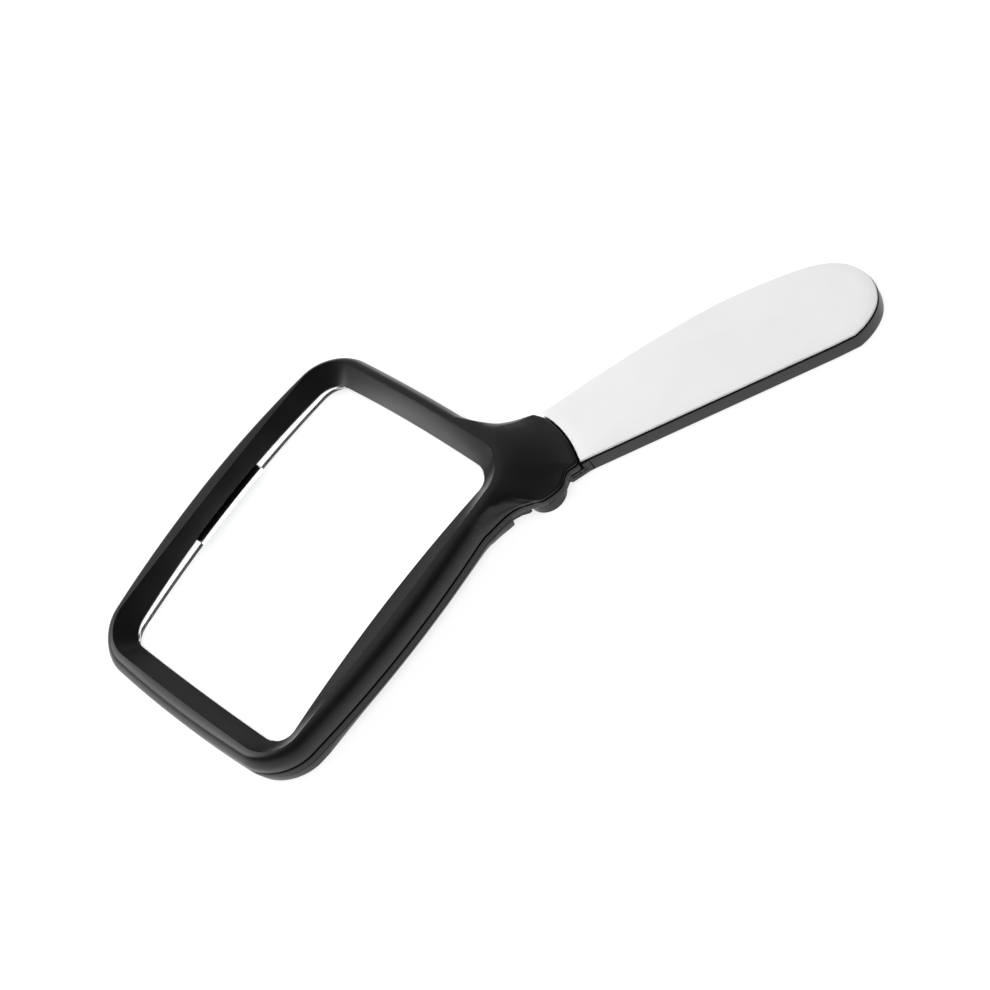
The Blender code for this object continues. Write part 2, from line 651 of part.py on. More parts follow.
def make_switch(green, black, steel, parent):
    """A small board in the tray that carries the press switch behind the button, and a resistor."""
    first = BUTTON_START + 0.9
    last = BUTTON_START + BUTTON_LENGTH - 0.9
    face = BUTTON_DEPTH + GAP + BUTTON_TRAVEL + GAP
    add_object("tact_switch", prism("tact_switch", handle_box(first, last, face, face + 3.6),
                                    BUTTON_BOTTOM, BUTTON_TOP), black, parent)
    board_low = TRAY_FLOOR + GAP
    board = handle_box(BUTTON_START + BUTTON_LENGTH + 1.0, 34.0, 5.0, 17.0)
    add_object("switch_board", prism("switch_board", board, board_low, board_low + 1.0), green, parent)
    body = handle_box(24.0, 29.0, 10.0, 12.0)
    add_object("resistor", prism("resistor", body, board_low + 1.05, board_low + 2.0), steel, parent)


def make_plunger(material, parent):
    """The switch's stem, which travels with the button."""
    middle = BUTTON_START + BUTTON_LENGTH / 2
    stem = handle_box(middle - 0.9, middle + 0.9, BUTTON_DEPTH + 0.05, BUTTON_DEPTH + GAP)
    add_object("switch_plunger", prism("switch_plunger", stem, 1.4, 2.9), material, parent)


def make_button(material, parent):
    """The light button: a block in the near edge, with a row of small raised ovals."""
    start, end = BUTTON_START, BUTTON_START + BUTTON_LENGTH
    plan = [(start, -0.1), (start + 0.8, -0.6), (end - 0.9, 1.1), (end, 1.6), (end, BUTTON_DEPTH),
            (start, BUTTON_DEPTH)]
    add_object("light_button", prism("light_button", handle_outline(plan), BUTTON_BOTTOM, BUTTON_TOP),
               material, parent)


def make_cells(steel, brass, red, parent):
    """Two stacked coin cells between a plate above them and a leaf at their side."""
    cells = Vector(on_handle(CELL_U, CELL_LATERAL))
    low = TRAY_FLOOR
    for name in ("coin_cell_lower", "coin_cell_upper"):
        high = low + CELL_THICKNESS
        profile = [(CELL_RADIUS - 0.5, low), (CELL_RADIUS, low + 0.3), (CELL_RADIUS, high - 0.2),
                   (CELL_RADIUS - 0.4, high)]
        add_object(name, turned(name, cells, profile, 32), steel, parent)
        low = high + 0.2
    plate = handle_box(CELL_U - 17.0, CELL_U + 4.0, CELL_LATERAL - 3.0, CELL_LATERAL + 3.0)
    add_object("cell_top_contact", prism("cell_top_contact", plate, low + 0.1, low + 0.4), brass, parent)
    reach = BATTERY_CAP_RADIUS + LUG_REACH - GAP
    half = 2.8
    leaf = [(-reach, -half), (-reach + 0.5, -half), (-CELL_RADIUS - GAP, 0.0), (-reach + 0.5, half),
            (-reach, half), (-CELL_RADIUS - GAP - 0.7, 0.0)]
    side = handle_outline([(CELL_U + u, CELL_LATERAL + lateral) for u, lateral in leaf])
    add_object("cell_side_contact", prism("cell_side_contact", side, TRAY_FLOOR + 1.3, TRAY_FLOOR + 3.0),
               brass, parent)
    start = on_handle(30.0, 14.5)
    route = [(*start, TRAY_FLOOR + 1.95), (*on_handle(33.0, 17.0), 4.6), (*on_handle(34.2, 17.0), 4.6)]
    tube("handle_lead", route, LEAD_RADIUS, red, parent)


def make_battery_cap(material, parent):
    """A round cap with two lugs that hook over the tray's floor, and a coin slot below."""
    cells = Vector(on_handle(CELL_U, CELL_LATERAL))
    ring_inner = CELL_RADIUS + GAP
    top = TRAY_FLOOR + 0.9
    profile = [(BATTERY_CAP_RADIUS - 0.3, 0.1), (BATTERY_CAP_RADIUS, 0.4), (BATTERY_CAP_RADIUS, top),
               (ring_inner, top), (ring_inner, TRAY_FLOOR - GAP)]
    cap = add_object("battery_cap", turned("battery_cap", cells, profile, 32), material, parent)
    for side in (1, -1):
        near = CELL_U + side * (BATTERY_CAP_RADIUS - 0.5)
        far = CELL_U + side * (BATTERY_CAP_RADIUS + LUG_REACH - GAP)
        lug = handle_box(*sorted((near, far)), CELL_LATERAL - 2.5, CELL_LATERAL + 2.5)
        boolean(cap, prism("lug", lug, TRAY_FLOOR + GAP, top), "UNION")
    slot = handle_box(CELL_U - 6.5, CELL_U + 6.5, CELL_LATERAL - 0.9, CELL_LATERAL + 0.9)
    boolean(cap, prism("coin_slot", slot, -1, 0.6), "DIFFERENCE")


def settle_origin(root):
    """Moves the root so that the origin lies under the middle of the whole part."""
    bpy.context.view_layer.update()
    corners = []
    for item in bpy.data.objects:
        if item.type == "MESH" and not item.hide_render:
            corners += [item.matrix_world @ Vector(corner) for corner in item.bound_box]
    middle = [(min(c[k] for c in corners) + max(c[k] for c in corners)) / 2 for k in range(2)]
    floor = min(c.z for c in corners)
    root.location -= Vector((*middle, floor))


def main():
    clear_scene()
    black = make_material("satin_black", (0.012, 0.012, 0.013), 0.42)
    gloss_black = make_material("gloss_black", (0.01, 0.01, 0.011), 0.3)
    white = make_material("gloss_white", (0.86, 0.86, 0.87), 0.2)
    clear = make_material("clear_acrylic", (0.9, 0.93, 0.95), 0.05)
    steel = make_material("bright_steel", (0.6, 0.6, 0.62), 0.3, 1.0)
    brass = make_material("contact_brass", (0.75, 0.55, 0.25), 0.3, 1.0)
    green = make_material("board_green", (0.02, 0.2, 0.07), 0.5)
    red = make_material("lead_red", (0.5, 0.02, 0.02), 0.5)

    root = add_empty("root", (0.0, 0.0, 0.0))
    handle = add_empty("handle_pivot", (PIVOT_X, PIVOT_Y, 0.0), root)
    button_middle = on_handle(BUTTON_START + BUTTON_LENGTH / 2, 0.0)
    button = add_empty("button_slide", (*button_middle, (BUTTON_BOTTOM + BUTTON_TOP) / 2), handle)
    cap = add_empty("battery_cap_turn", (*on_handle(CELL_U, CELL_LATERAL), 0.0), handle)

    make_top_shell(black, root)
    make_lower_shell(black, root)
    make_lens(clear, root)
    board_low = make_light_bar(black, green, white, clear, root)
    make_frame_leads(red, black, board_low, root)
    make_frame_screws(steel, root)
    make_pivot(steel, brass, root, handle)
    make_handle_body(black, handle)
    make_cover(white, handle)
    make_handle_screws(steel, handle)
    make_switch(green, black, steel, handle)
    make_cells(steel, brass, red, handle)
    make_plunger(gloss_black, button)
    make_button(gloss_black, button)
    make_battery_cap(black, cap)
    settle_origin(root)
    bpy.context.view_layer.update()
    for empty in (handle, button, cap):
        print(empty.name, [round(value, 6) for value in empty.matrix_world.translation])


main()
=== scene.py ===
# %% [markdown]
# Folding reading magnifier.
# The real object is a black two-part frame round a clear domed lens, with a flat handle that swings
# on a pivot at one corner. This lesson loads the engineering solids as a fixed frame, then rebuilds
# every visible shell at a finer grain, so that edges are round and highlights run smoothly.

# %% Load the frame
import json
import math

import bmesh
import bpy
from mathutils import Matrix, Vector


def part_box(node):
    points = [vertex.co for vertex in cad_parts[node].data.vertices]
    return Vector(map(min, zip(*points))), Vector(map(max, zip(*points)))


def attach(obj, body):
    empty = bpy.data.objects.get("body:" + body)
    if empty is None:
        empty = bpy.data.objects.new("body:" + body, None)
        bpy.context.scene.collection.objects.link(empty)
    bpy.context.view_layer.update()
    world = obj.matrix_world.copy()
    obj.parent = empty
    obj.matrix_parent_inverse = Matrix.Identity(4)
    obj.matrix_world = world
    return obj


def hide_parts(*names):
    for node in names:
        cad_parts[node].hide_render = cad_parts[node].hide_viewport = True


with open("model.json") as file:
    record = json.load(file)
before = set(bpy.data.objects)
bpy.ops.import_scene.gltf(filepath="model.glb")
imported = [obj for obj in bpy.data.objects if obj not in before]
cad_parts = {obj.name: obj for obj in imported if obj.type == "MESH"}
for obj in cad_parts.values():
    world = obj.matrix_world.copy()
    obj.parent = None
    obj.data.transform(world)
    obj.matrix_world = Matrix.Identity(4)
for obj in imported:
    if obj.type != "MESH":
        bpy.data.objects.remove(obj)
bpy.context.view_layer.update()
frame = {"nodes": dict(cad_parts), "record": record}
nodes = frame["nodes"]
print("solids loaded:", len(nodes))

# %% [markdown]
# Everything is laid out in millimetres from the middle of the lens, because that is how a maker
# would draw it. The lens's own box says where that middle is, and the record's joints say where the
# handle turns, so nothing here is placed by eye against the solids.

# %% Layout: millimetres from the lens's middle
MM = 0.001
joints = {joint["name"]: joint for joint in frame["record"]["behaviour"]["joints"]}
lens_low, lens_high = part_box("lens")
MIDDLE = Vector(((lens_low[0] + lens_high[0]) / 2, (lens_low[1] + lens_high[1]) / 2, 0.0))


def on_layout(world):
    """A point of the frame, as millimetres from the lens's middle, in plan."""
    return Vector(((world[0] - MIDDLE.x) / MM, (world[1] - MIDDLE.y) / MM))


def in_world(point):
    """A layout point in millimetres, as a place in the frame in metres."""
    x, y, z = point
    return (x * MM + MIDDLE.x, y * MM + MIDDLE.y, z * MM)


PIVOT = on_layout(joints["handle_fold"]["pos_m"])
CELL_MIDDLE = on_layout(joints["battery_cap_turn"]["pos_m"])
LEFT = Vector(joints["button_press"]["axis"][:2]).normalized()
ALONG = Vector((LEFT.y, -LEFT.x))


def on_handle(u, lateral):
    """Along the handle and to its left, from the pivot."""
    return tuple(PIVOT + ALONG * u + LEFT * lateral)


def from_pivot(points):
    """Plan points given from the pivot, along the frame's own sides."""
    return [PIVOT + Vector(p) for p in points]


def handle_outline(points):
    """Plan points given along and across the handle."""
    return [on_handle(u, lateral) for u, lateral in points]


print("pivot at", [round(value, 2) for value in PIVOT], "mm from the lens's middle")

# %% [markdown]
# A few helpers make all the shells. A loft bridges rings of points, and is the natural tool for a
# moulding whose section stays alike all the way round. Booleans cut holes, as a drill would. Each
# finished mesh holds its own place, so its object stays at the origin.

# %% Mesh helpers
SHARP_ANGLE = math.radians(32)
BEVEL_ANGLE = math.radians(40)


def loft(name, rings, loop=False):
    """Bridges rings of equal count: capped at both ends, or joined into a closed band."""
    bm = bmesh.new()
    rows = [[bm.verts.new(in_world(point)) for point in ring] for ring in rings]
    count = len(rows[0])
    pairs = list(zip(rows, rows[1:]))
    if loop:
        pairs.append((rows[-1], rows[0]))
    for first, second in pairs:
        for i in range(count):
            j = (i + 1) % count
            bm.faces.new((first[i], first[j], second[j], second[i]))
    if not loop:
        bm.faces.new(list(reversed(rows[0])))
        bm.faces.new(rows[-1])
    bmesh.ops.recalc_face_normals(bm, faces=bm.faces)
    mesh = bpy.data.meshes.new(name)
    bm.to_mesh(mesh)
    bm.free()
    return mesh


def prism(name, outline, low, high):
    """An upright solid on a plan outline, between two heights."""
    return loft(name, [[(x, y, low) for x, y in outline], [(x, y, high) for x, y in outline]])


def circle(centre, radius, steps=64):
    turns = [2 * math.pi * i / steps for i in range(steps)]
    return [(centre[0] + radius * math.cos(a), centre[1] + radius * math.sin(a)) for a in turns]


def turned(name, centre, profile, steps=64, loop=False):
    """A turned solid from (radius, height) pairs."""
    rings = [[(x, y, z) for x, y in circle(centre, radius, steps)] for radius, z in profile]
    return loft(name, rings, loop)


def cut(name, outline, low, high):
    """A Boolean tool that takes a prism away."""
    return prism(name, outline, low, high), "DIFFERENCE"


def add(name, outline, low, high):
    """A Boolean tool that joins a prism on."""
    return prism(name, outline, low, high), "UNION"


def rectangle(x0, x1, y0, y1):
    return [(x0, y0), (x1, y0), (x1, y1), (x0, y1)]


def make_object(name, mesh):
    item = bpy.data.objects.new(name, mesh)
    bpy.context.scene.collection.objects.link(item)
    return item


def lofted(name, rings, loop=False):
    """A loft, as an object of its own."""
    return make_object(name, loft(name, rings, loop))


def applied(item):
    """Turns an object with modifiers into a plain mesh object of the same name."""
    graph = bpy.context.evaluated_depsgraph_get()
    mesh = bpy.data.meshes.new_from_object(item.evaluated_get(graph))
    item.modifiers.clear()
    old = item.data
    item.data = mesh
    if old.users == 0 and isinstance(old, bpy.types.Mesh):
        bpy.data.meshes.remove(old)
    return item


def combine(item, tools, crossing=False):
    """Runs exact Booleans in order; each tool is a mesh with the name of its operation.

    Crossing is for a piece whose own faces may cross one another; it is slower.
    """
    guides = []
    for mesh, operation in tools:
        guide = make_object(item.name + "_guide", mesh)
        modifier = item.modifiers.new(operation, "BOOLEAN")
        modifier.operation = operation
        modifier.object = guide
        modifier.solver = "EXACT"
        modifier.use_self = crossing
        guides.append(guide)
    applied(item)
    for guide in guides:
        mesh = guide.data
        bpy.data.objects.remove(guide)
        bpy.data.meshes.remove(mesh)
    return item


def soften(item, width, segments=2):
    """Rounds the sharp edges, as a moulding tool leaves them."""
    bevel = item.modifiers.new("soften", "BEVEL")
    bevel.width = width * MM
    bevel.segments = segments
    bevel.limit_method = "ANGLE"
    bevel.angle_limit = BEVEL_ANGLE
    bevel.harden_normals = False
    return applied(item)


def dress(item, material, body, slot, *replaced):
    """Gives a piece its finish and its body, and hides the solids that it stands for."""
    item.data.materials.clear()
    item.data.materials.append(material)
    item.data.shade_smooth()
    item.data.set_sharp_from_angle(angle=SHARP_ANGLE)
    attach(item, body)
    if replaced:
        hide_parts(*replaced)
    print(item.name, len(item.data.polygons), "faces")
    return item


# %% [markdown]
# The black plastic is a satin moulding. Close up it has a fine spark-eroded grain, a little gloss and
# faint handling marks. A noise on Object coordinates makes the grain, and a slower noise varies the
# roughness, so highlights break up as they do on the real surface.

# %% Materials: plastics
NOISE_LOW = 0.3
NOISE_HIGH = 0.7
SHADE_LOW = 0.35
SHADE_HIGH = 0.65


def new_material(name):
    material = bpy.data.materials.new(name)
    material.use_nodes = True
    tree = material.node_tree
    return material, tree, tree.nodes["Principled BSDF"]


def noise_node(tree, scale, detail):
    where = tree.nodes.new("ShaderNodeTexCoord")
    noise = tree.nodes.new("ShaderNodeTexNoise")
    noise.inputs["Scale"].default_value = scale
    noise.inputs["Detail"].default_value = detail
    tree.links.new(where.outputs["Object"], noise.inputs["Vector"])
    return noise


def ramp_between(tree, source, low, high):
    """Maps a noise to a range of numbers."""
    spread = tree.nodes.new("ShaderNodeMapRange")
    spread.inputs["From Min"].default_value = NOISE_LOW
    spread.inputs["From Max"].default_value = NOISE_HIGH
    spread.inputs["To Min"].default_value = low
    spread.inputs["To Max"].default_value = high
    tree.links.new(source, spread.inputs["Value"])
    return spread.outputs["Result"]


def colour_between(tree, source, first, second):
    """Maps a noise to a blend of two shades."""
    ramp = tree.nodes.new("ShaderNodeValToRGB")
    ramp.color_ramp.elements[0].position = SHADE_LOW
    ramp.color_ramp.elements[1].position = SHADE_HIGH
    ramp.color_ramp.elements[0].color = (*first, 1.0)
    ramp.color_ramp.elements[1].color = (*second, 1.0)
    tree.links.new(source, ramp.inputs["Fac"])
    return ramp.outputs["Color"]


def vary_finish(tree, shader, source, shades, gloss):
    """Lets one noise drive both the shade and the roughness."""
    tree.links.new(colour_between(tree, source, *shades), shader.inputs["Base Color"])
    tree.links.new(ramp_between(tree, source, *gloss), shader.inputs["Roughness"])


def add_grain(tree, shader, scale, strength, depth):
    """Roughens the surface's normals with a fine noise."""
    grain = noise_node(tree, scale, 4.0)
    bump = tree.nodes.new("ShaderNodeBump")
    bump.inputs["Strength"].default_value = strength
    bump.inputs["Distance"].default_value = depth
    tree.links.new(grain.outputs["Fac"], bump.inputs["Height"])
    tree.links.new(bump.outputs["Normal"], shader.inputs["Normal"])


PLASTIC_IOR = 1.44
SHADE_SCALE = 60.0
GRAIN_DEPTH = 0.00004


def plastic(name, first, second, rough_low, rough_high, grain_scale, grain_strength):
    """A moulded plastic: two close shades, uneven gloss and a fine grain."""
    material, tree, shader = new_material(name)
    slow = noise_node(tree, SHADE_SCALE, 3.0)
    vary_finish(tree, shader, slow.outputs["Fac"], (first, second), (rough_low, rough_high))
    shader.inputs["IOR"].default_value = PLASTIC_IOR
    add_grain(tree, shader, grain_scale, grain_strength, GRAIN_DEPTH)
    return material


SATIN_BLACK = plastic("satin_black", (0.005, 0.005, 0.0055), (0.007, 0.007, 0.0075),
                      0.31, 0.38, 2600.0, 0.30)
BUTTON_BLACK = plastic("button_black", (0.007, 0.007, 0.0075), (0.009, 0.009, 0.0095),
                       0.30, 0.36, 2600.0, 0.15)
GLOSS_WHITE = plastic("gloss_white", (0.84, 0.84, 0.85), (0.87, 0.87, 0.875), 0.16, 0.22, 700.0, 0.02)
SWITCH_BLACK = plastic("switch_black", (0.02, 0.02, 0.02), (0.03, 0.03, 0.03), 0.45, 0.55, 1800.0, 0.2)
RED_SLEEVE = plastic("red_sleeve", (0.40, 0.015, 0.015), (0.50, 0.02, 0.02), 0.40, 0.50, 900.0, 0.1)
BLACK_SLEEVE = plastic("black_sleeve", (0.015, 0.015, 0.015), (0.022, 0.022, 0.022), 0.40, 0.50, 900.0, 0.1)
RESISTOR_BLUE = plastic("resistor_coat", (0.22, 0.36, 0.50), (0.28, 0.42, 0.56), 0.35, 0.45, 900.0, 0.1)
CHIP_YELLOW = plastic("chip_phosphor", (0.80, 0.74, 0.45), (0.86, 0.80, 0.52), 0.30, 0.40, 1500.0, 0.1)
print("nodes in the black plastic:", len(SATIN_BLACK.node_tree.nodes))

# %% [markdown]
# The lens is clear acrylic, so it needs real refraction and almost no roughness. The light bar's strip
# is the same plastic, lightly frosted. Contacts and screws are metal with a fine brushed grain, made by
# stretching a noise along one direction. The boards are green, with pale tracks from a brick pattern.

# %% Materials: clear parts, metals and boards
ACRYLIC_IOR = 1.49
BRUSH_STRETCH = (0.15, 1.0, 1.0)


def clear_plastic(name, rough_low, rough_high):
    """A clear moulding with faint unevenness in its polish."""
    material, tree, shader = new_material(name)
    slow = noise_node(tree, 35.0, 2.0)
    tree.links.new(ramp_between(tree, slow.outputs["Fac"], rough_low, rough_high), shader.inputs["Roughness"])
    shader.inputs["Base Color"].default_value = (0.985, 0.995, 0.995, 1.0)
    shader.inputs["IOR"].default_value = ACRYLIC_IOR
    shader.inputs["Transmission Weight"].default_value = 1.0
    return material


def metal(name, first, second, rough_low, rough_high):
    """A metal with a noise stretched into a brushed grain."""
    material, tree, shader = new_material(name)
    grain = noise_node(tree, 900.0, 3.0)
    stretch = tree.nodes.new("ShaderNodeMapping")
    stretch.inputs["Scale"].default_value = BRUSH_STRETCH
    coordinates = grain.inputs["Vector"].links[0].from_socket
    tree.links.new(coordinates, stretch.inputs["Vector"])
    tree.links.new(stretch.outputs["Vector"], grain.inputs["Vector"])
    vary_finish(tree, shader, grain.outputs["Fac"], (first, second), (rough_low, rough_high))
    shader.inputs["Metallic"].default_value = 1.0
    return material


def circuit_board(name):
    """Green board lacquer over a regular pattern of tracks."""
    material, tree, shader = new_material(name)
    where = tree.nodes.new("ShaderNodeTexCoord")
    tracks = tree.nodes.new("ShaderNodeTexBrick")
    tracks.inputs["Scale"].default_value = 160.0
    tracks.inputs["Mortar Size"].default_value = 0.03
    tracks.inputs["Color1"].default_value = (0.012, 0.16, 0.055, 1.0)
    tracks.inputs["Color2"].default_value = (0.016, 0.19, 0.065, 1.0)
    tracks.inputs["Mortar"].default_value = (0.06, 0.34, 0.14, 1.0)
    tree.links.new(where.outputs["Object"], tracks.inputs["Vector"])
    tree.links.new(tracks.outputs["Color"], shader.inputs["Base Color"])
    shader.inputs["Roughness"].default_value = 0.35
    return material


LENS_CLEAR = clear_plastic("lens_clear", 0.0, 0.004)
STRIP_FROSTED = clear_plastic("strip_frosted", 0.12, 0.20)
STEEL = metal("plated_steel", (0.55, 0.55, 0.57), (0.66, 0.66, 0.68), 0.24, 0.36)
BRASS = metal("contact_brass", (0.68, 0.49, 0.20), (0.80, 0.60, 0.28), 0.24, 0.36)
BOARD_GREEN = circuit_board("board_green")
print("nodes in the steel:", len(STEEL.node_tree.nodes))

# %% [markdown]
# The rim's plan is a rounded rectangle whose sides swell a little, and the lens window is another one
# inside it. Any point between the two is a share of the way from one to the other, which is how the
# sections of both shells are laid out. The hub end swells less than the tail, and the far side falls in a
# little towards the hub.

# %% Outlines of the rim and the window
FRAME_LENGTH = 119.0
FRAME_WIDTH = 85.6
FRAME_LONG_BOW = 5.2
FRAME_TAIL_BOW = 2.1
FRAME_HUB_BOW = 1.2
FAR_FALL = 1.1
FRAME_CORNER = 13.0
FRAME_HEIGHT = 14.2
WINDOW_LENGTH = 100.8
WINDOW_WIDTH = 71.5
WINDOW_SHIFT = -0.25
WINDOW_BOW = 0.6
WINDOW_CORNER = 6.5
PARTING_HEIGHT = 3.8
GAP = 0.3
LENS_CROWN_RADIUS = 290.0
LENS_APEX = 13.9
LENS_BOTTOM = 1.2
CORNER_STEPS = 22
SIDE_STEPS = 30


def rounded_rectangle(length, width, radius):
    """Points anticlockwise from the +X +Y corner, with the same count for every size."""
    arcs = []
    for sx, sy, start in [(1, 1, 0), (-1, 1, 90), (-1, -1, 180), (1, -1, 270)]:
        cx, cy = sx * (length / 2 - radius), sy * (width / 2 - radius)
        angles = [math.radians(start + 90 * i / CORNER_STEPS) for i in range(CORNER_STEPS + 1)]
        arcs.append([(cx + radius * math.cos(a), cy + radius * math.sin(a)) for a in angles])
    points = []
    for arc, after in zip(arcs, arcs[1:] + arcs[:1]):
        points += arc
        (x0, y0), (x1, y1) = arc[-1], after[0]
        shares = [i / SIDE_STEPS for i in range(1, SIDE_STEPS)]
        points += [(x0 + (x1 - x0) * s, y0 + (y1 - y0) * s) for s in shares]
    return points


def bowed(points, length, width, long_bow, tail_bow, hub_bow):
    """Swells the sides of a rectangle: the long pair alike, the two ends each by its own height."""
    out = []
    for x, y in points:
        across, along = 2 * y / width, 2 * x / length
        end_bow = hub_bow if x > 0 else tail_bow
        out.append((x + end_bow * along * (1 - across**2), y + long_bow * across * (1 - along**2)))
    return out


OUTER = bowed(rounded_rectangle(FRAME_LENGTH, FRAME_WIDTH, FRAME_CORNER),
              FRAME_LENGTH, FRAME_WIDTH, FRAME_LONG_BOW, FRAME_TAIL_BOW, FRAME_HUB_BOW)
OUTER = [(x, y - FAR_FALL * (2 * x / FRAME_LENGTH) ** 2 if x > 0 and y > 0 else y) for x, y in OUTER]
WINDOW = bowed(rounded_rectangle(WINDOW_LENGTH, WINDOW_WIDTH, WINDOW_CORNER),
               WINDOW_LENGTH, WINDOW_WIDTH, WINDOW_BOW, WINDOW_BOW, WINDOW_BOW)
WINDOW = [(x, y + WINDOW_SHIFT) for x, y in WINDOW]


def rim_point(i, share):
    """A point of the rim, a share of the way from its outer edge to the window."""
    return Vector(OUTER[i]).lerp(Vector(WINDOW[i]), share)


def lens_top(p):
    """The crown's height over a plan point."""
    return LENS_APEX - (p.x**2 + p.y**2) / (2 * LENS_CROWN_RADIUS)


print("rim outline points:", len(OUTER))

# %% [markdown]
# The bezel and the neck are one moulding: at the hub the rolled edge runs out into a broad sheet that
# covers the pivot. One loft makes it all. At every step round the rim it has the same rows: up the outer
# wall with its groove, over the rolled edge and the crest, and down the long slope to the lens. Only the
# outer rows reach further out at the neck, so the sheet flows out of the edge with no seam.

# %% Top shell: bezel, neck and hub cap
CAP_ARC = [(4.95, 22.8), (7.9, 19.7), (10.35, 14.5), (11.9, 9.1), (12.65, 4.0), (12.95, 0.5)]
NEAR_LEAVE = [(-20.0, 3.05), (-15.1, 2.3), (-11.8, 1.4), (-9.2, 0.0), (-7.3, -1.7)]
BUMP_TURNS = (-150, -130, -106)
BUMP_LEAVE = [(5.2, -5.2), (7.0, -3.8), (8.0, -2.0), (9.6, -0.5)]
SHOULDER = [(13.1, 19.6), (9.4, 23.6), (7.3, 26.9), (6.0, 30.2), (5.35, 33.5)]
BUMP_RADIUS = 6.5
BOSS_RADIUS = 2.2
BOSS_LOW = 1.6
CAP_TOP = 8.3
CAP_SKIRT = 6.3
SHELL_LOW = PARTING_HEIGHT + GAP
SLOPE_REACH = 5.7
NECK_STEPS = 240
NECK_REACH_UP = 37.4
NECK_REACH_BACK = 25.5
EDGE_STEPS = 8
STEER_STEPS = 6
NECK_FADE_NEAR = 0.21
NECK_FADE_FAR = 0.22
LIP = GAP + 0.7


def smooth_open(points, steps):
    """A Catmull-Rom curve through chosen points; the first and last only steer its ends."""
    out = []
    for p0, p1, p2, p3 in zip(points, points[1:], points[2:], points[3:]):
        p0, p1, p2, p3 = Vector(p0), Vector(p1), Vector(p2), Vector(p3)
        for step in range(steps):
            t = step / steps
            bend = 2 * p0 - 5 * p1 + 4 * p2 - p3
            tail = -p0 + 3 * p1 - 3 * p2 + p3
            out.append(tuple((2 * p1 + (p2 - p0) * t + bend * t**2 + tail * t**3) * 0.5))
    return out + [tuple(points[-2])]


def even_places(points, count):
    """Evenly spaced places along an open polyline: which piece, and how far along it."""
    lengths = [0.0]
    for a, b in zip(points, points[1:]):
        lengths.append(lengths[-1] + (Vector(b) - Vector(a)).length)
    out = []
    piece = 0
    for i in range(count):
        want = lengths[-1] * i / (count - 1)
        while piece < len(points) - 2 and lengths[piece + 1] < want:
            piece += 1
        out.append((piece, (want - lengths[piece]) / (lengths[piece + 1] - lengths[piece])))
    return out


def at_places(points, places):
    """The points of a polyline at such places."""
    return [Vector(points[piece]).lerp(Vector(points[piece + 1]), share) for piece, share in places]


def neck_edge(ends):
    """The neck's free edge: off the near side, round the bump and the cap, back to the short side."""
    before, first, last, after = ends
    start = [before, first] + from_pivot(NEAR_LEAVE)
    bump = []
    for degrees in BUMP_TURNS:
        a = math.radians(degrees)
        bump.append(PIVOT + BUMP_RADIUS * Vector((math.cos(a), math.sin(a))))
    bump += [Vector(on_handle(u, lateral)) for u, lateral in BUMP_LEAVE]
    cap = [Vector(on_handle(u, lateral)) for u, lateral in reversed(CAP_ARC)]
    shoulder = from_pivot(SHOULDER) + [last, after]
    near = smooth_open(start + bump + cap[:2], EDGE_STEPS)
    far = smooth_open([cap[0] - (cap[1] - cap[0])] + cap + [cap[-1] + Vector((0.5, 1.5))], EDGE_STEPS)
    top = smooth_open([cap[-1] + Vector((1.5, -2.0)), cap[-1]] + shoulder, EDGE_STEPS)
    return near[:-1] + far[:-1] + top


def in_neck(p):
    """Whether a point of the rim lies where the neck grows out of it."""
    return p.y < PIVOT.y + NECK_REACH_UP and p.x > PIVOT.x - NECK_REACH_BACK and (p.y < 0 or p.x > 0)


def rim_stations():
    """Round the frame: the rim, the window, the free edge and how much of the neck's section applies."""
    count = len(OUTER)
    inside = [in_neck(Vector(OUTER[i])) for i in range(count)]
    first = next(i for i in range(count) if inside[i] and not inside[i - 1])
    order = [(first + k) % count for k in range(count)]
    sector = [i for i in order if inside[i]]
    rest = [i for i in order if not inside[i]]
    along_rim = even_places([OUTER[i] for i in sector], NECK_STEPS)
    roots = at_places([OUTER[i] for i in sector], along_rim)
    panes = at_places([WINDOW[i] for i in sector], along_rim)
    steer = (sector[0] - STEER_STEPS, sector[0], sector[-1], sector[-1] + STEER_STEPS)
    free_edge = neck_edge([Vector(OUTER[i % count]) for i in steer])
    edges = at_places(free_edge, even_places(free_edge, NECK_STEPS))
    stations = []
    for k, (root, pane, edge) in enumerate(zip(roots, panes, edges)):
        along = k / (NECK_STEPS - 1)
        fade = min(1.0, along / NECK_FADE_NEAR, (1.0 - along) / NECK_FADE_FAR)
        weight = fade * fade * (3 - 2 * fade)
        stations.append((root, pane, edge, weight))
    stations += [(Vector(OUTER[i]), Vector(WINDOW[i]), Vector(OUTER[i]), 0.0) for i in rest]
    return stations


# Rows are (depth from the free edge, height); crest rows are (share of the way to the ridge, height).
WALL_ROWS = [(0.25, SHELL_LOW), (0.0, SHELL_LOW + 0.2), (0.0, 6.2), (0.12, 6.45), (1.2, 6.5), (1.2, 7.3),
             (0.12, 7.35), (0.0, 7.5)]
ROLL_ROWS = [(0.0, 7.6), (0.0, 8.6), (0.02, 9.5), (0.12, 10.2), (0.34, 10.9), (0.68, 11.65), (1.1, 12.45),
             (1.6, 13.2), (2.2, 13.8)]
BROW_DEPTH = 2.5
NECK_BROW_DEPTH = 0.6
CREST_ROWS = [(0.12, 14.0), (0.45, 14.12), (0.8, 14.18)]
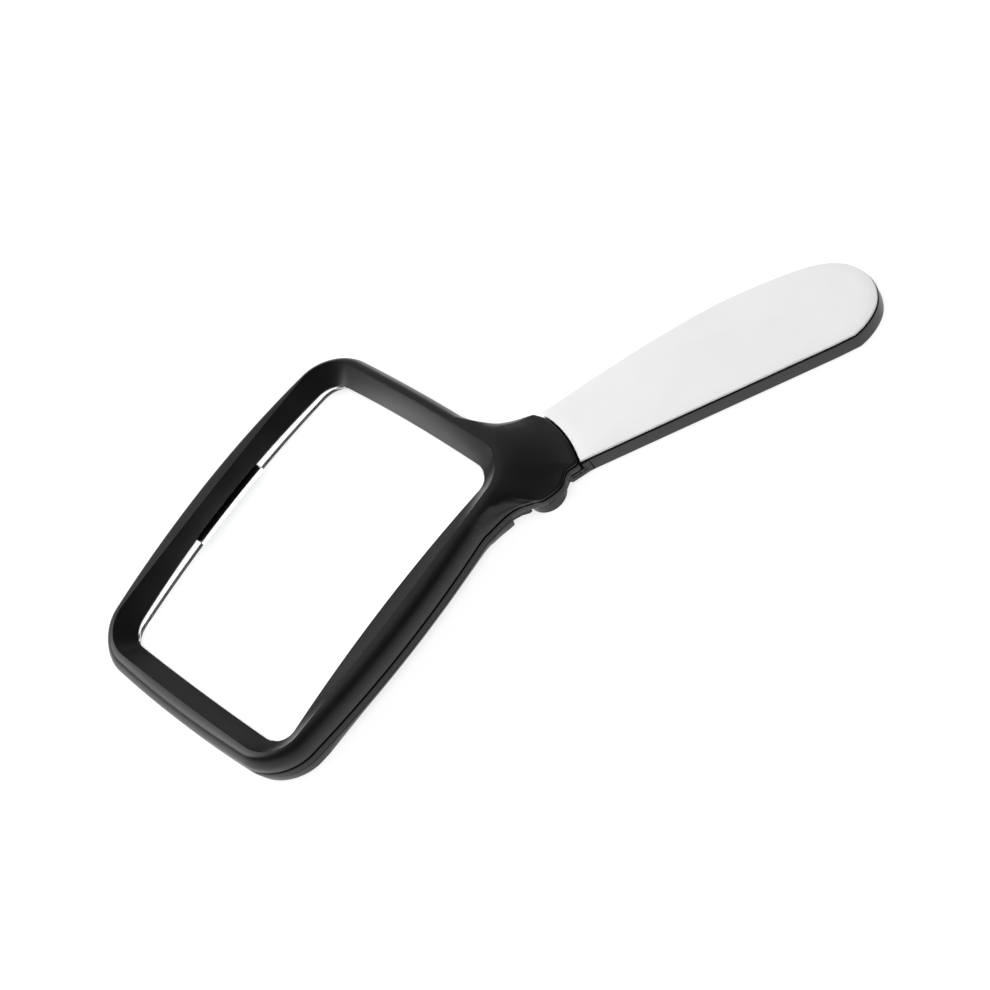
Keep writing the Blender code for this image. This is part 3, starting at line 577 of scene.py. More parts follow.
# On the neck, rows lie at these shares of the way in, the first few at these heights.
NECK_SHARES = [0.0, 0.012, 0.035, 0.07, 0.12, 0.24, 0.42, 0.64, 0.86]
NECK_DROPS = [7.6, 7.85, 8.05, 8.18, 8.26]
NECK_RUN = 0.88
NECK_EASE = 0.07
NECK_DIP = 0.3
SLOPE_SHARES = (0.02, 0.08, 0.2, 0.4, 0.6, 0.8, 0.93, 1.0)
SLOPE_DIP = 0.05
SEAT_SHARE = 0.76
HOLLOW_SHARE = 0.66
WALL_SHARE = 0.27
LIP_SHARE = 0.985
LIP_ROUND = 0.25
HOLLOW_DEPTH = 6.0
WALL_DEPTH = 3.4


def neck_height(share):
    """The sheet's fall from the ridge to the cap's rim: nearly even, with soft ends."""
    reach = (1.0 - share) / NECK_RUN
    fall = 1.0 - reach + NECK_EASE * math.sin(2 * math.pi * reach)
    return CAP_TOP + (FRAME_HEIGHT - NECK_DIP - CAP_TOP) * fall


def shell_section(root, pane, out, weight):
    """One section of the shell, as points from the foot outside to the foot inside."""
    ridge = pane + (root - pane).normalized() * SLOPE_REACH
    inward = (ridge - out).normalized()
    points = [(*(out + inward * depth), z) for depth, z in WALL_ROWS]
    depth = BROW_DEPTH * (1 - weight) + NECK_BROW_DEPTH * weight
    brow = root + (pane - root).normalized() * depth
    for row, (depth, z) in enumerate(ROLL_ROWS):
        low = NECK_DROPS[row] if row < len(NECK_DROPS) else neck_height(NECK_SHARES[row])
        place = (out + inward * depth).lerp(out.lerp(brow, NECK_SHARES[row]), weight)
        points.append((*place, z * (1 - weight) + low * weight))
    points += [(*brow.lerp(ridge, share), z) for share, z in CREST_ROWS]
    points.append((*ridge, FRAME_HEIGHT))
    for fall in SLOPE_SHARES:
        p = ridge.lerp(pane, fall)
        lift = (FRAME_HEIGHT - SLOPE_DIP) * (1 - fall) + (lens_top(p) + LIP) * fall
        points.append((*p, lift))
    seat, hollow, wall = (root.lerp(pane, share) for share in (SEAT_SHARE, HOLLOW_SHARE, WALL_SHARE))
    points += [(*pane, lens_top(pane) + GAP + LIP_ROUND),
               (*root.lerp(pane, LIP_SHARE), lens_top(pane) + GAP),
               (*seat, lens_top(seat) + GAP), (*seat, SHELL_LOW),
               (*hollow, SHELL_LOW), (*hollow, FRAME_HEIGHT - HOLLOW_DEPTH),
               (*wall, FRAME_HEIGHT - WALL_DEPTH), (*wall, SHELL_LOW)]
    return points


sections = [shell_section(*station) for station in rim_stations()]
bezel = lofted("bezel_and_hub", sections, loop=True)
combine(bezel, [add("boss", circle(PIVOT, BOSS_RADIUS, 48), BOSS_LOW, CAP_SKIRT)])
dress(bezel, SATIN_BLACK, "head", "black_plastic", "top_shell")

# %% [markdown]
# The lower shell is the plain band under the parting line. Its section is lofted with a wall that draws
# in to the foot. A floor and a small web carry it out under the neck, and then the pocket for the knuckle
# and the screw holes are cut.

# %% Lower shell
SCREW_HEAD_RADIUS = 1.9
SCREW_RADIUS = 0.8
KNUCKLE_RADIUS = 6.2
POCKET_CLEARANCE = 0.5
SCREW_INSET = 0.987
FRAME_HEAD_DEPTH = 1.5


def box_middle(node):
    """The middle of a solid's box, in plan."""
    low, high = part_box(node)
    return on_layout(((low[0] + high[0]) / 2, (low[1] + high[1]) / 2))


def screw_holes(places, head_depth, shank_top):
    """Tools that drill a recess for the head and a hole for the shank at each place, from below."""
    holes = []
    for place in places:
        holes.append(cut("head", circle(place, SCREW_HEAD_RADIUS + GAP, 40), -1, head_depth))
        holes.append(cut("shank", circle(place, SCREW_RADIUS + GAP, 32), 0, shank_top))
    return holes


frame_screws = [tuple(box_middle(f"frame_screw_{k}") * SCREW_INSET) for k in range(1, 5)]
LEDGE_SHARE = 0.815
LENS_SEAT_SHARE = 0.70
LOWER_SKIN = 0.3
FOOT_AT_CORNER = 0.08
FOOT_AT_SIDE = 0.22
FOOT_BLEND = 2.8
FOOT_TURN = 3.0
FOOT_FALLS = (0.25, 0.5, 0.75, 0.92)
FOOT_CURVE = 1.4
NOTCH_ALONG = 0.14


def foot_share(p):
    """How far the wall draws in towards the foot: less in the corners, where the screws are."""
    near_corner = abs(2 * p.x / FRAME_LENGTH) ** 4 * abs(2 * p.y / FRAME_WIDTH) ** 4
    return FOOT_AT_SIDE + (FOOT_AT_CORNER - FOOT_AT_SIDE) * min(1.0, FOOT_BLEND * near_corner)


def lower_section(root, pane, out, along):
    """The lower shell's section: a wall that draws in to the foot, the floor and the ledge."""
    edge = out if along < NOTCH_ALONG else root
    inward = (pane - edge).normalized()
    skin = edge + inward * LOWER_SKIN
    ledge = LENS_BOTTOM - GAP
    foot = foot_share(edge)
    points = [(*(edge + inward * (LOWER_SKIN + 0.2)), PARTING_HEIGHT),
              (*skin, PARTING_HEIGHT - 0.2), (*skin, FOOT_TURN)]
    for fall in FOOT_FALLS:
        points.append((*skin.lerp(edge.lerp(pane, foot), fall**FOOT_CURVE), FOOT_TURN * (1 - fall)))
    points += [(*edge.lerp(pane, foot + 0.03), 0.0)]
    inner, seat = root.lerp(pane, LEDGE_SHARE), root.lerp(pane, LENS_SEAT_SHARE)
    points += [(*inner, 0.0), (*inner, ledge), (*seat, ledge), (*seat, PARTING_HEIGHT)]
    return points


lower_sections = []
for k, (root, pane, out, _) in enumerate(rim_stations()):
    lower_sections.append(lower_section(root, pane, out, k / NECK_STEPS))
lower = lofted("lower_rim", lower_sections, loop=True)
FLOOR_EDGE = [(4.0, 34.0), (4.5, 31.4), (6.3, 27.0), (8.9, 23.1), (12.5, 19.1), (15.9, 15.6), (18.0, 13.0)]
FLOOR_CORNER = (4.9, 7.4)
FLOOR_REACH_UP = 31.0
FLOOR_REACH_BACK = 0.5
NEAR_WEB = [(-13.4, 4.3), (-11.6, 3.7), (-9.5, 2.5), (-7.6, 0.7), (-4.5, 0.2), (-4.5, 7.5), (-13.4, 7.5)]


def beside_floor(p):
    """Whether a point of the rim lies beside the floor under the neck."""
    return p.y < PIVOT.y + FLOOR_REACH_UP and p.x > PIVOT.x - FLOOR_REACH_BACK


floor_root = [tuple(rim_point(i, 0.3)) for i in range(len(OUTER)) if beside_floor(rim_point(i, 0.2))]
floor_edge = smooth_open(from_pivot(FLOOR_EDGE), 6)
neck_floor = floor_root + floor_edge + from_pivot([FLOOR_CORNER])
combine(lower, [add("neck_floor", neck_floor, 0.0, PARTING_HEIGHT),
                add("near_web", from_pivot(NEAR_WEB), 0.15, PARTING_HEIGHT - 0.05),
                cut("pocket", circle(PIVOT, KNUCKLE_RADIUS + POCKET_CLEARANCE, 96), -1, 5),
                *screw_holes(frame_screws, FRAME_HEAD_DEPTH, 5)])
dress(lower, SATIN_BLACK, "head", "black_plastic", "lower_shell")

# %% [markdown]
# The lens is flat below and crowned above. Concentric copies of its outline, each lifted to the crown's
# height, give a smooth dome. A shallow groove just inside the bezel catches the light as the edge of the
# polished field does, and a notch at the far side makes room for the light bar.

# %% Lens
LENS_SHARE = 0.80
LENS_STEPS = 26
NOTCH_REACH = 9.0
GROOVE = [(1.012, 0.0), (1.022, 0.2), (1.036, 0.2), (1.046, 0.0)]


def lens_ring(share, drop, scale=1.0):
    """A ring on the crown, or a little under it."""
    points = [rim_point(i, share) * scale for i in range(len(OUTER))]
    return [(p.x, p.y, lens_top(p) - drop) for p in points]


edge = [rim_point(i, LENS_SHARE) for i in range(len(OUTER))]
flat = [[(p.x * s, p.y * s, LENS_BOTTOM) for p in edge] for s in (0.004, 0.3, 0.6, 0.85, 0.994)]
rings = flat + [[(p.x, p.y, LENS_BOTTOM + 0.3) for p in edge]]
rings += [lens_ring(LENS_SHARE, 0.35), lens_ring(LENS_SHARE + 0.015, 0.08)]
rings += [lens_ring(share, 0.0) for share in (0.85, 0.93, 0.99)]
rings += [lens_ring(share, drop) for share, drop in GROOVE]
rings += [lens_ring(1.06, 0.0, 1.0 - 0.996 * k / LENS_STEPS) for k in range(LENS_STEPS + 1)]
lens = lofted("reading_lens", rings)
lens.visible_shadow = False
near_edge, far_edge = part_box("led_housing")
bar_low, bar_high = on_layout(near_edge), on_layout(far_edge)
bar_bottom, bar_top = near_edge[2] / MM, far_edge[2] / MM
notch = rectangle(bar_low.x - GAP, bar_high.x + GAP, bar_low.y - GAP, bar_high.y + NOTCH_REACH)
combine(lens, [cut("bar_notch", notch, bar_bottom - GAP, FRAME_HEIGHT + 1)])
dress(lens, LENS_CLEAR, "head", "lens_acrylic", "lens")

# %% [markdown]
# The handle is a shallow black tray under a glossy white plate. Both share one outline: a straight near
# edge, a round tip and a long bowed far edge, drawn as a smooth curve through a few chosen points.

# %% Handle outline
HANDLE_LENGTH = 111.3
HANDLE_WIDTH = 31.5
EDGE_OFFSET = 0.9
SLIT = 0.5
TRAY_HEIGHT = 5.8
TRAY_WALL = 1.8
TRAY_FLOOR = 1.5
TONGUE_TOP = 3.7
STRAIGHT_STEP = 4.0
STRAIGHT_COUNT = 21
# The tip and the far edge, as shares of the handle's length and width.
TIP_SHARES = [(0.840, 0.000), (0.900, 0.008), (0.952, 0.102), (0.988, 0.247), (1.000, 0.440),
              (0.985, 0.634), (0.945, 0.807), (0.880, 0.920), (0.780, 0.976), (0.610, 1.000),
              (0.430, 0.940), (0.250, 0.840), (0.100, 0.735), (-0.050, 0.630)]


def handle_plan():
    """The handle's outline: near edge, tip, far edge, and the hollow arc that faces the hub cap."""
    curve = smooth_open([(HANDLE_LENGTH * a, EDGE_OFFSET + HANDLE_WIDTH * b) for a, b in TIP_SHARES], 10)
    straight = [(CAP_ARC[-1][0] + SLIT + k * STRAIGHT_STEP, EDGE_OFFSET) for k in range(STRAIGHT_COUNT)]
    root = [(u + SLIT, lateral) for u, lateral in CAP_ARC]
    before = (root[0][0] - 2.0, root[0][1] + 2.0)
    after = (root[-1][0] + 0.3, root[-1][1] - 3.0)
    hub = smooth_open([before] + root + [after], 5)
    corner = [(root[0][0] + 1.6, root[0][1] + 0.45)]
    arc = [p for p in hub if EDGE_OFFSET + 3.3 < p[1] < root[0][1] - 1.2]
    return handle_outline(straight + curve + corner + arc)


def inset(points, distance):
    """Moves an anticlockwise outline inwards along its corner normals."""
    out = []
    count = len(points)
    for i in range(count):
        before, here, after = (Vector(points[(i + k) % count]) for k in (-1, 0, 1))
        along = ((here - before).normalized() + (after - here).normalized()).normalized()
        out.append(tuple(here + distance * Vector((-along.y, along.x))))
    return out


def inner_wall(points, distance):
    """An inset that drops the points which fold over in sharp corners."""
    count = len(points)
    kept = []
    for p in inset(points, distance):
        p = Vector(p)
        gaps = []
        for i in range(count):
            a, b = Vector(points[i]), Vector(points[(i + 1) % count])
            share = max(0.0, min(1.0, (p - a).dot(b - a) / max((b - a).length_squared, 1e-9)))
            gaps.append((p - a.lerp(b, share)).length)
        if min(gaps) > distance - 0.05:
            kept.append(tuple(p))
    return kept


def inset_rings(points, rows):
    """Rings for a loft, from rows of (inset, height)."""
    return [[(x, y, height) for x, y in inset(points, depth)] for depth, height in rows]


def handle_box(u0, u1, lateral0, lateral1):
    """A plan rectangle laid along the handle."""
    return handle_outline(rectangle(u0, u1, lateral0, lateral1))


plan = handle_plan()
print("handle outline points:", len(plan))

# %% [markdown]
# The tray is lofted with a rounded foot and then worked like the real moulding: hollowed, given its
# tongue and knuckle, and cut for the pivot, the button, the coin cells and the screws.

# %% Handle tray
BUTTON_START = 7.8
BUTTON_LENGTH = 8.0
BUTTON_BOTTOM = 0.9
TAIL_START = 13.6
TAIL_TOP = 5.5
CAP_RADIUS = 11.4
LUG_REACH = 1.6
CRADLE_WALL = 0.5
CRADLE_LOW = 1.0
CRADLE_TOP = 4.7
GROOVE_INNER = 3.2
GROOVE_OUTER = 5.3
GROOVE_LOW = 2.7
GROOVE_TOP = 4.7
COUNTERBORE_RADIUS = 4.2
PIVOT_HOLE_RADIUS = 2.5
HANDLE_HEAD_DEPTH = 0.95
TRAY_ROWS = [(0.6, 0.0), (0.25, 0.12), (0.06, 0.4), (0.0, 0.8), (0.0, TRAY_HEIGHT - 0.25), (0.2, TRAY_HEIGHT)]
TONGUE = [(0.5, 5.6), (5.9, 22.4), (9.0, 20.6), (13.5, 16.0), (16.0, 8.0), (16.2, 2.4), (13.4, 2.0),
          (7.4, 0.4), (4.0, -4.2)]


def band(name, centre, inner, outer, low, high, steps):
    """A plain ring between two radii and two heights."""
    return turned(name, centre, [(outer, low), (outer, high), (inner, high), (inner, low)], steps, True)


handle_screws = [tuple(box_middle(f"handle_screw_{k}")) for k in range(1, 4)]
tray = lofted("handle_tray", inset_rings(plan, TRAY_ROWS))
cradle = CAP_RADIUS + LUG_REACH + GAP
ring_wall = band("cradle", CELL_MIDDLE, cradle, cradle + CRADLE_WALL, CRADLE_LOW, CRADLE_TOP, 96)
groove = band("groove", PIVOT, GROOVE_INNER, GROOVE_OUTER, GROOVE_LOW, GROOVE_TOP, 64)
slot_plan = handle_box(BUTTON_START - GAP, BUTTON_START + BUTTON_LENGTH + GAP, -3.0, 9.6)
tail_slot = handle_box(TAIL_START - 1.6, BUTTON_START + BUTTON_LENGTH + 0.25, -3.2, 5.4)
# The tongue and the knuckle differ a little in height, so that no two faces lie in one plane.
tools = [cut("hollow", inner_wall(plan, TRAY_WALL), TRAY_FLOOR, TRAY_HEIGHT + 1),
         add("tongue", handle_outline(TONGUE), 0.06, TONGUE_TOP - 0.04),
         add("knuckle", circle(PIVOT, KNUCKLE_RADIUS, 96), 0.03, TONGUE_TOP),
         (ring_wall, "UNION"),
         cut("counterbore", circle(PIVOT, COUNTERBORE_RADIUS), -1, 1.5),
         cut("pivot_hole", circle(PIVOT, PIVOT_HOLE_RADIUS), 0, 5),
         (groove, "DIFFERENCE"),
         cut("button_slot", slot_plan, BUTTON_BOTTOM - GAP, TONGUE_TOP + 0.2),
         cut("tail_slot", tail_slot, 1.9, TRAY_HEIGHT + 1),
         cut("cell_hole", circle(CELL_MIDDLE, CAP_RADIUS + GAP, 96), -1, TRAY_FLOOR + 0.1)]
tools += screw_holes(handle_screws, HANDLE_HEAD_DEPTH, 3)
combine(tray, tools, crossing=True)
dress(tray, SATIN_BLACK, "handle", "black_plastic", "handle_body")

# %% [markdown]
# The white plate is thin, with a tight round along its rim and a slight crown. Its gloss comes from a low
# roughness, and the crown bends the reflections so that it doesn't look like a cut sheet. Three posts under
# it take the screws.

# %% White plate
PLATE_LOW = TRAY_HEIGHT + GAP
PLATE_RIM = PLATE_LOW + 0.9
PLATE_CROWN = 0.8
PLATE_ROWS = [(0.15, PLATE_LOW), (0.0, PLATE_LOW + 0.15), (0.0, PLATE_RIM - 0.4),
              (0.12, PLATE_RIM - 0.12), (0.45, PLATE_RIM)]
CROWN_SHARES = (0.93, 0.85, 0.75, 0.62, 0.48, 0.33, 0.18, 0.05)
POST_RADIUS = 2.0
plate_plan = inset(plan, 0.25)
spine = Vector(on_handle(HANDLE_LENGTH * 0.55, EDGE_OFFSET + HANDLE_WIDTH / 2))
plate_rings = inset_rings(plate_plan, PLATE_ROWS)
for share in CROWN_SHARES:
    lift = PLATE_RIM + PLATE_CROWN * (1 - share**2)
    plate_rings.append([(*spine.lerp(Vector(p), share), lift) for p in plate_plan])
plate = lofted("handle_plate", plate_rings)
tools = []
for place in handle_screws:
    tools.append(add("post", circle(place, POST_RADIUS, 40), TRAY_FLOOR + GAP, PLATE_LOW + 0.5))
    tools.append(cut("pilot", circle(place, SCREW_RADIUS + GAP, 32), 0, PLATE_LOW - 0.6))
combine(plate, tools)
dress(plate, GLOSS_WHITE, "handle", "white_plastic", "handle_cover")

# %% [markdown]
# The light button is a small block set in the near edge, with a taller tail and a row of raised ovals
# for the thumb to find. The ovals repeat along the face, so a Geometry Nodes tree sets one flattened bead
# on each point of a line. The modifier's result is made a plain mesh before the piece is dressed.

# %% Button with its raised ovals


def bead_mesh(name, segments=16, rings=8):
    """A ball of radius 1, to be flattened where it is set."""
    bm = bmesh.new()
    bmesh.ops.create_uvsphere(bm, u_segments=segments, v_segments=rings, radius=1.0)
    mesh = bpy.data.meshes.new(name)
    bm.to_mesh(mesh)
    bm.free()
    return mesh


def row_tree(name, source, material):
    """A tree that sets a source object on each point of its input, turned and scaled by named inputs."""
    tree = bpy.data.node_groups.new(name, "GeometryNodeTree")
    sockets = {}
    tree.interface.new_socket("Geometry", in_out="INPUT", socket_type="NodeSocketGeometry")
    for label, kind in (("Turn", "NodeSocketRotation"), ("Size", "NodeSocketVector")):
        sockets[label] = tree.interface.new_socket(label, in_out="INPUT", socket_type=kind).identifier
    tree.interface.new_socket("Geometry", in_out="OUTPUT", socket_type="NodeSocketGeometry")
    start, end = tree.nodes.new("NodeGroupInput"), tree.nodes.new("NodeGroupOutput")
    copy = tree.nodes.new("GeometryNodeObjectInfo")
    copy.inputs["Object"].default_value = source
    place = tree.nodes.new("GeometryNodeInstanceOnPoints")
    real = tree.nodes.new("GeometryNodeRealizeInstances")
    finish = tree.nodes.new("GeometryNodeSetMaterial")
    finish.inputs["Material"].default_value = material
    tree.links.new(start.outputs["Geometry"], place.inputs["Points"])
    tree.links.new(copy.outputs["Geometry"], place.inputs["Instance"])
    tree.links.new(start.outputs["Turn"], place.inputs["Rotation"])
    tree.links.new(start.outputs["Size"], place.inputs["Scale"])
    tree.links.new(place.outputs["Instances"], real.inputs["Geometry"])
    tree.links.new(real.outputs["Geometry"], finish.inputs["Geometry"])
    tree.links.new(finish.outputs["Geometry"], end.inputs["Geometry"])
    return tree, sockets


def set_on_points(name, source_mesh, places, material, turn, size):
    """One mesh of copies of a source, at places in millimetres of the layout."""
    source = make_object(name + "_source", source_mesh)
    mesh = bpy.data.meshes.new(name)
    mesh.from_pydata([in_world(place) for place in places], [], [])
    item = make_object(name, mesh)
    tree, sockets = row_tree(name + "_tree", source, material)
    modifier = item.modifiers.new("row", "NODES")
    modifier.node_group = tree
    modifier[sockets["Turn"]] = turn
    modifier[sockets["Size"]] = size
    applied(item)
    bpy.data.objects.remove(source)
    return item


BUTTON_TOP = 3.6
BUTTON_DEPTH = 4.0
OVAL_COUNT = 3
OVAL_START = 0.2
OVAL_STEP = 0.3
OVAL_SIZE = (0.00085, 0.00022, 0.0006)
button_end = BUTTON_START + BUTTON_LENGTH
button_plan = [(BUTTON_START, -0.1), (BUTTON_START + 0.8, -0.6), (button_end - 0.9, 0.6), (button_end, 0.9),
               (button_end, BUTTON_DEPTH), (BUTTON_START, BUTTON_DEPTH)]
block = prism("light_button_block", handle_outline(button_plan), BUTTON_BOTTOM, BUTTON_TOP)
button = make_object("light_button_block", block)
tail_plan = [(TAIL_START, 0.45), (button_end - 0.9, 0.6), (button_end, 0.9),
             (button_end, 3.0), (TAIL_START, 3.0)]
combine(button, [add("button_tail", handle_outline(tail_plan), BUTTON_BOTTOM, TAIL_TOP)])
soften(button, 0.25, 3)
dress(button, BUTTON_BLACK, "light_button", "button", "light_button")
face_start, face_end = Vector(on_handle(*button_plan[1])), Vector(on_handle(*button_plan[2]))
face_height = (BUTTON_BOTTOM + BUTTON_TOP) / 2
shares = [OVAL_START + OVAL_STEP * k for k in range(OVAL_COUNT)]
oval_places = [(*face_start.lerp(face_end, share), face_height) for share in shares]
face_turn = math.atan2(face_end.y - face_start.y, face_end.x - face_start.x)
ovals = set_on_points("button_ovals", bead_mesh("bead"), oval_places, BUTTON_BLACK,
                      (0.0, 0.0, face_turn), OVAL_SIZE)
dress(ovals, BUTTON_BLACK, "light_button", "button")

# %% [markdown]
# The screws are alike, so one turned head with a cross recess is drawn once and set on every hole by the
# same kind of tree: four in the frame and three in the handle.

# %% Screws
RECESS_REACH = 1.1
RECESS_HALF = 0.22
RECESS_DEPTH_SHARE = 0.6
UPRIGHT = (0.0, 0.0, 0.0)
SAME_SIZE = (1.0, 1.0, 1.0)


def screw_mesh(name, head_height, shank_top):
    """A pan head with a cross recess below and a plain shank above, from its own lowest point."""
    profile = [(0.02, 0.0), (1.2, 0.0), (1.6, 0.1), (1.84, 0.3), (SCREW_HEAD_RADIUS, 0.5),
               (SCREW_HEAD_RADIUS, head_height), (SCREW_RADIUS, head_height),
               (SCREW_RADIUS, shank_top), (0.5, shank_top + 0.3)]
    item = make_object(name, turned(name, (0.0, 0.0), profile, 40))
    depth = head_height * RECESS_DEPTH_SHARE
    bars = [rectangle(-RECESS_REACH, RECESS_REACH, -RECESS_HALF, RECESS_HALF),
            rectangle(-RECESS_HALF, RECESS_HALF, -RECESS_REACH, RECESS_REACH)]
    combine(item, [cut("bar", bar, -1, depth) for bar in bars])
    mesh = item.data
    bpy.data.objects.remove(item)
    mesh.transform(Matrix.Translation(-MIDDLE))
    return mesh


def screw_row(name, places, lowest, head_height, shank_top):
    """One screw, set on each place of a row."""
    mesh = screw_mesh(name + "_screw", head_height, shank_top)
    spots = [(x, y, lowest) for x, y in places]
    return set_on_points(name + "_screws", mesh, spots, STEEL, UPRIGHT, SAME_SIZE)


frame_row = screw_row("frame", frame_screws, 0.25, 0.9, 6.4)
dress(frame_row, STEEL, "head", "steel", *[f"frame_screw_{k}" for k in range(1, 5)])
handle_row = screw_row("handle", handle_screws, 0.15, 0.5, 4.1)
dress(handle_row, STEEL, "handle", "steel", *[f"handle_screw_{k}" for k in range(1, 4)])

# %% [markdown]
# The battery cap is turned with a coin. It is a disc with a softened rim, a coin slot, a raised wall and
# two lugs that hook over the floor of the tray. A ring of small beads below gives the fingertips a hold.

# %% Battery cap
CELL_U = (CELL_MIDDLE - PIVOT).dot(ALONG)
CELL_LATERAL = (CELL_MIDDLE - PIVOT).dot(LEFT)
CAP_INNER_RADIUS = 10.3
CAP_WALL_TOP = 2.4
CAP_FLOOR_TOP = 1.2
LUG_HALF = 2.5
COIN_REACH = 6.5
COIN_HALF = 0.9
COIN_DEPTH = 0.6
GRIP_COUNT = 24
GRIP_RADIUS = 9.6
GRIP_HEIGHT = 0.16
GRIP_SIZE = (0.0005, 0.0005, 0.00012)
cap_profile = [(0.05, 0.1), (CAP_RADIUS - 0.55, 0.1), (CAP_RADIUS - 0.2, 0.2), (CAP_RADIUS, 0.5),
               (CAP_RADIUS, CAP_WALL_TOP), (CAP_INNER_RADIUS, CAP_WALL_TOP),
               (CAP_INNER_RADIUS, CAP_FLOOR_TOP), (0.05, CAP_FLOOR_TOP)]
cap = make_object("battery_cap_disc", turned("battery_cap_disc", CELL_MIDDLE, cap_profile, 96))
tools = []
for side in (1, -1):
    span = sorted((CELL_U + side * (CAP_RADIUS - 0.5), CELL_U + side * (CAP_RADIUS + LUG_REACH - GAP)))
    lug = handle_box(*span, CELL_LATERAL - LUG_HALF, CELL_LATERAL + LUG_HALF)
    tools.append(add("lug", lug, TRAY_FLOOR + GAP, CAP_WALL_TOP))
coin = handle_box(CELL_U - COIN_REACH, CELL_U + COIN_REACH,
                  CELL_LATERAL - COIN_HALF, CELL_LATERAL + COIN_HALF)
tools.append(cut("coin_slot", coin, -1, COIN_DEPTH))
combine(cap, tools)
dress(cap, SATIN_BLACK, "battery_cap", "black_plastic", "battery_cap")
grip_places = [(x, y, GRIP_HEIGHT) for x, y in circle(CELL_MIDDLE, GRIP_RADIUS, GRIP_COUNT)]
grips = set_on_points("cap_grip_beads", bead_mesh("grip_bead"), grip_places, SATIN_BLACK,
                      UPRIGHT, GRIP_SIZE)
dress(grips, SATIN_BLACK, "battery_cap", "black_plastic")

# %% [markdown]
# The light bar sits in the lens's notch, at the middle of the far side. Its trough gets softened edges
# here. The small inner pieces keep their solids, because their shapes are right, and take a better finish
# in their slots.

# %% Light bar and inner pieces
BAR_WALL = 0.5
TAB_HALF = 4.6
bar_plan = rectangle(bar_low.x, bar_high.x, bar_low.y, bar_high.y)
bar = make_object("light_bar_trough", prism("light_bar_trough", bar_plan, bar_bottom, bar_top))
hollow = rectangle(bar_low.x + BAR_WALL, bar_high.x - BAR_WALL, bar_low.y + BAR_WALL, bar_high.y - BAR_WALL)
tab_slot = rectangle(-TAB_HALF, TAB_HALF, bar_high.y - 1.5, bar_high.y + 1.0)
combine(bar, [cut("hollow", hollow, bar_bottom - 1, bar_top - BAR_WALL),
              cut("tab_slot", tab_slot, (bar_bottom + bar_top) / 2, bar_top - BAR_WALL)])
soften(bar, 0.12, 2)
dress(bar, SATIN_BLACK, "head", "black_plastic", "led_housing")

FINISHES = [(BOARD_GREEN, ["led_board", "switch_board"]),
            (STRIP_FROSTED, ["led_diffuser"]),
            (RED_SLEEVE, ["lead_positive", "handle_lead"]),
            (BLACK_SLEEVE, ["lead_negative"]),
            (BRASS, ["wiper_contact", "contact_ring", "cell_top_contact", "cell_side_contact"]),
            (STEEL, ["pivot_screw", "pivot_washer", "coin_cell_lower", "coin_cell_upper"]),
            (SWITCH_BLACK, ["tact_switch", "switch_plunger"]),
            (RESISTOR_BLUE, ["resistor"]),
            (CHIP_YELLOW, ["led_1", "led_2", "led_3"])]
for material, names in FINISHES:
    for name in names:
        nodes[name].data.materials.clear()
        nodes[name].data.materials.append(material)
print("inner pieces finished:", sum(len(names) for _, names in FINISHES))

# %% [markdown]
# The floor is white where the camera, a reflection or the lens sees it, so the background reads as white
# without more light on the object. A small share of plain diffuse floor stays in it, which keeps the
# shadow that sets the object down.

# %% Floor
FLOOR_HALF = 6.0
FLOOR_GLOW = 0.80
FLOOR_HEIGHT = -0.0002
LIT_SHADE = (0.8, 0.8, 0.8, 1.0)
SEEN_SHADE = (0.35, 0.35, 0.35, 1.0)


def white_floor():
    """Glows to the camera, to gloss and through the lens; plain pale floor to other light."""
    material = bpy.data.materials.new("white_floor")
    material.use_nodes = True
    tree = material.node_tree
    tree.nodes.clear()
    out = tree.nodes.new("ShaderNodeOutputMaterial")
    path = tree.nodes.new("ShaderNodeLightPath")
    plain = tree.nodes.new("ShaderNodeBsdfDiffuse")
    plain.inputs["Color"].default_value = LIT_SHADE
    glow = tree.nodes.new("ShaderNodeEmission")
    glow.inputs["Strength"].default_value = FLOOR_GLOW
    faint = tree.nodes.new("ShaderNodeBsdfDiffuse")
    faint.inputs["Color"].default_value = SEEN_SHADE
    both = tree.nodes.new("ShaderNodeAddShader")
    mix = tree.nodes.new("ShaderNodeMixShader")
    first = tree.nodes.new("ShaderNodeMath")
    second = tree.nodes.new("ShaderNodeMath")
    first.operation = "MAXIMUM"
    second.operation = "MAXIMUM"
    tree.links.new(path.outputs["Is Camera Ray"], first.inputs[0])
    tree.links.new(path.outputs["Is Glossy Ray"], first.inputs[1])
    tree.links.new(first.outputs[0], second.inputs[0])
    tree.links.new(path.outputs["Is Transmission Ray"], second.inputs[1])
    tree.links.new(glow.outputs[0], both.inputs[0])
    tree.links.new(faint.outputs[0], both.inputs[1])
    tree.links.new(second.outputs[0], mix.inputs["Fac"])
    tree.links.new(plain.outputs[0], mix.inputs[1])
    tree.links.new(both.outputs[0], mix.inputs[2])
    tree.links.new(mix.outputs[0], out.inputs["Surface"])
    return material


floor_mesh = bpy.data.meshes.new("floor")
corners = rectangle(-FLOOR_HALF, FLOOR_HALF, -FLOOR_HALF, FLOOR_HALF)
floor_mesh.from_pydata([(x, y, FLOOR_HEIGHT) for x, y in corners], [], [(0, 1, 2, 3)])
floor_mesh.materials.append(white_floor())
floor = make_object("floor", floor_mesh)
print("floor:", 2 * FLOOR_HALF, "m wide")

# %% [markdown]
# The camera stands where the photograph's did: about 52 degrees up, a little to the side, and rolled, so
# that the handle climbs to the upper right. The roll is built into the camera's own axes.

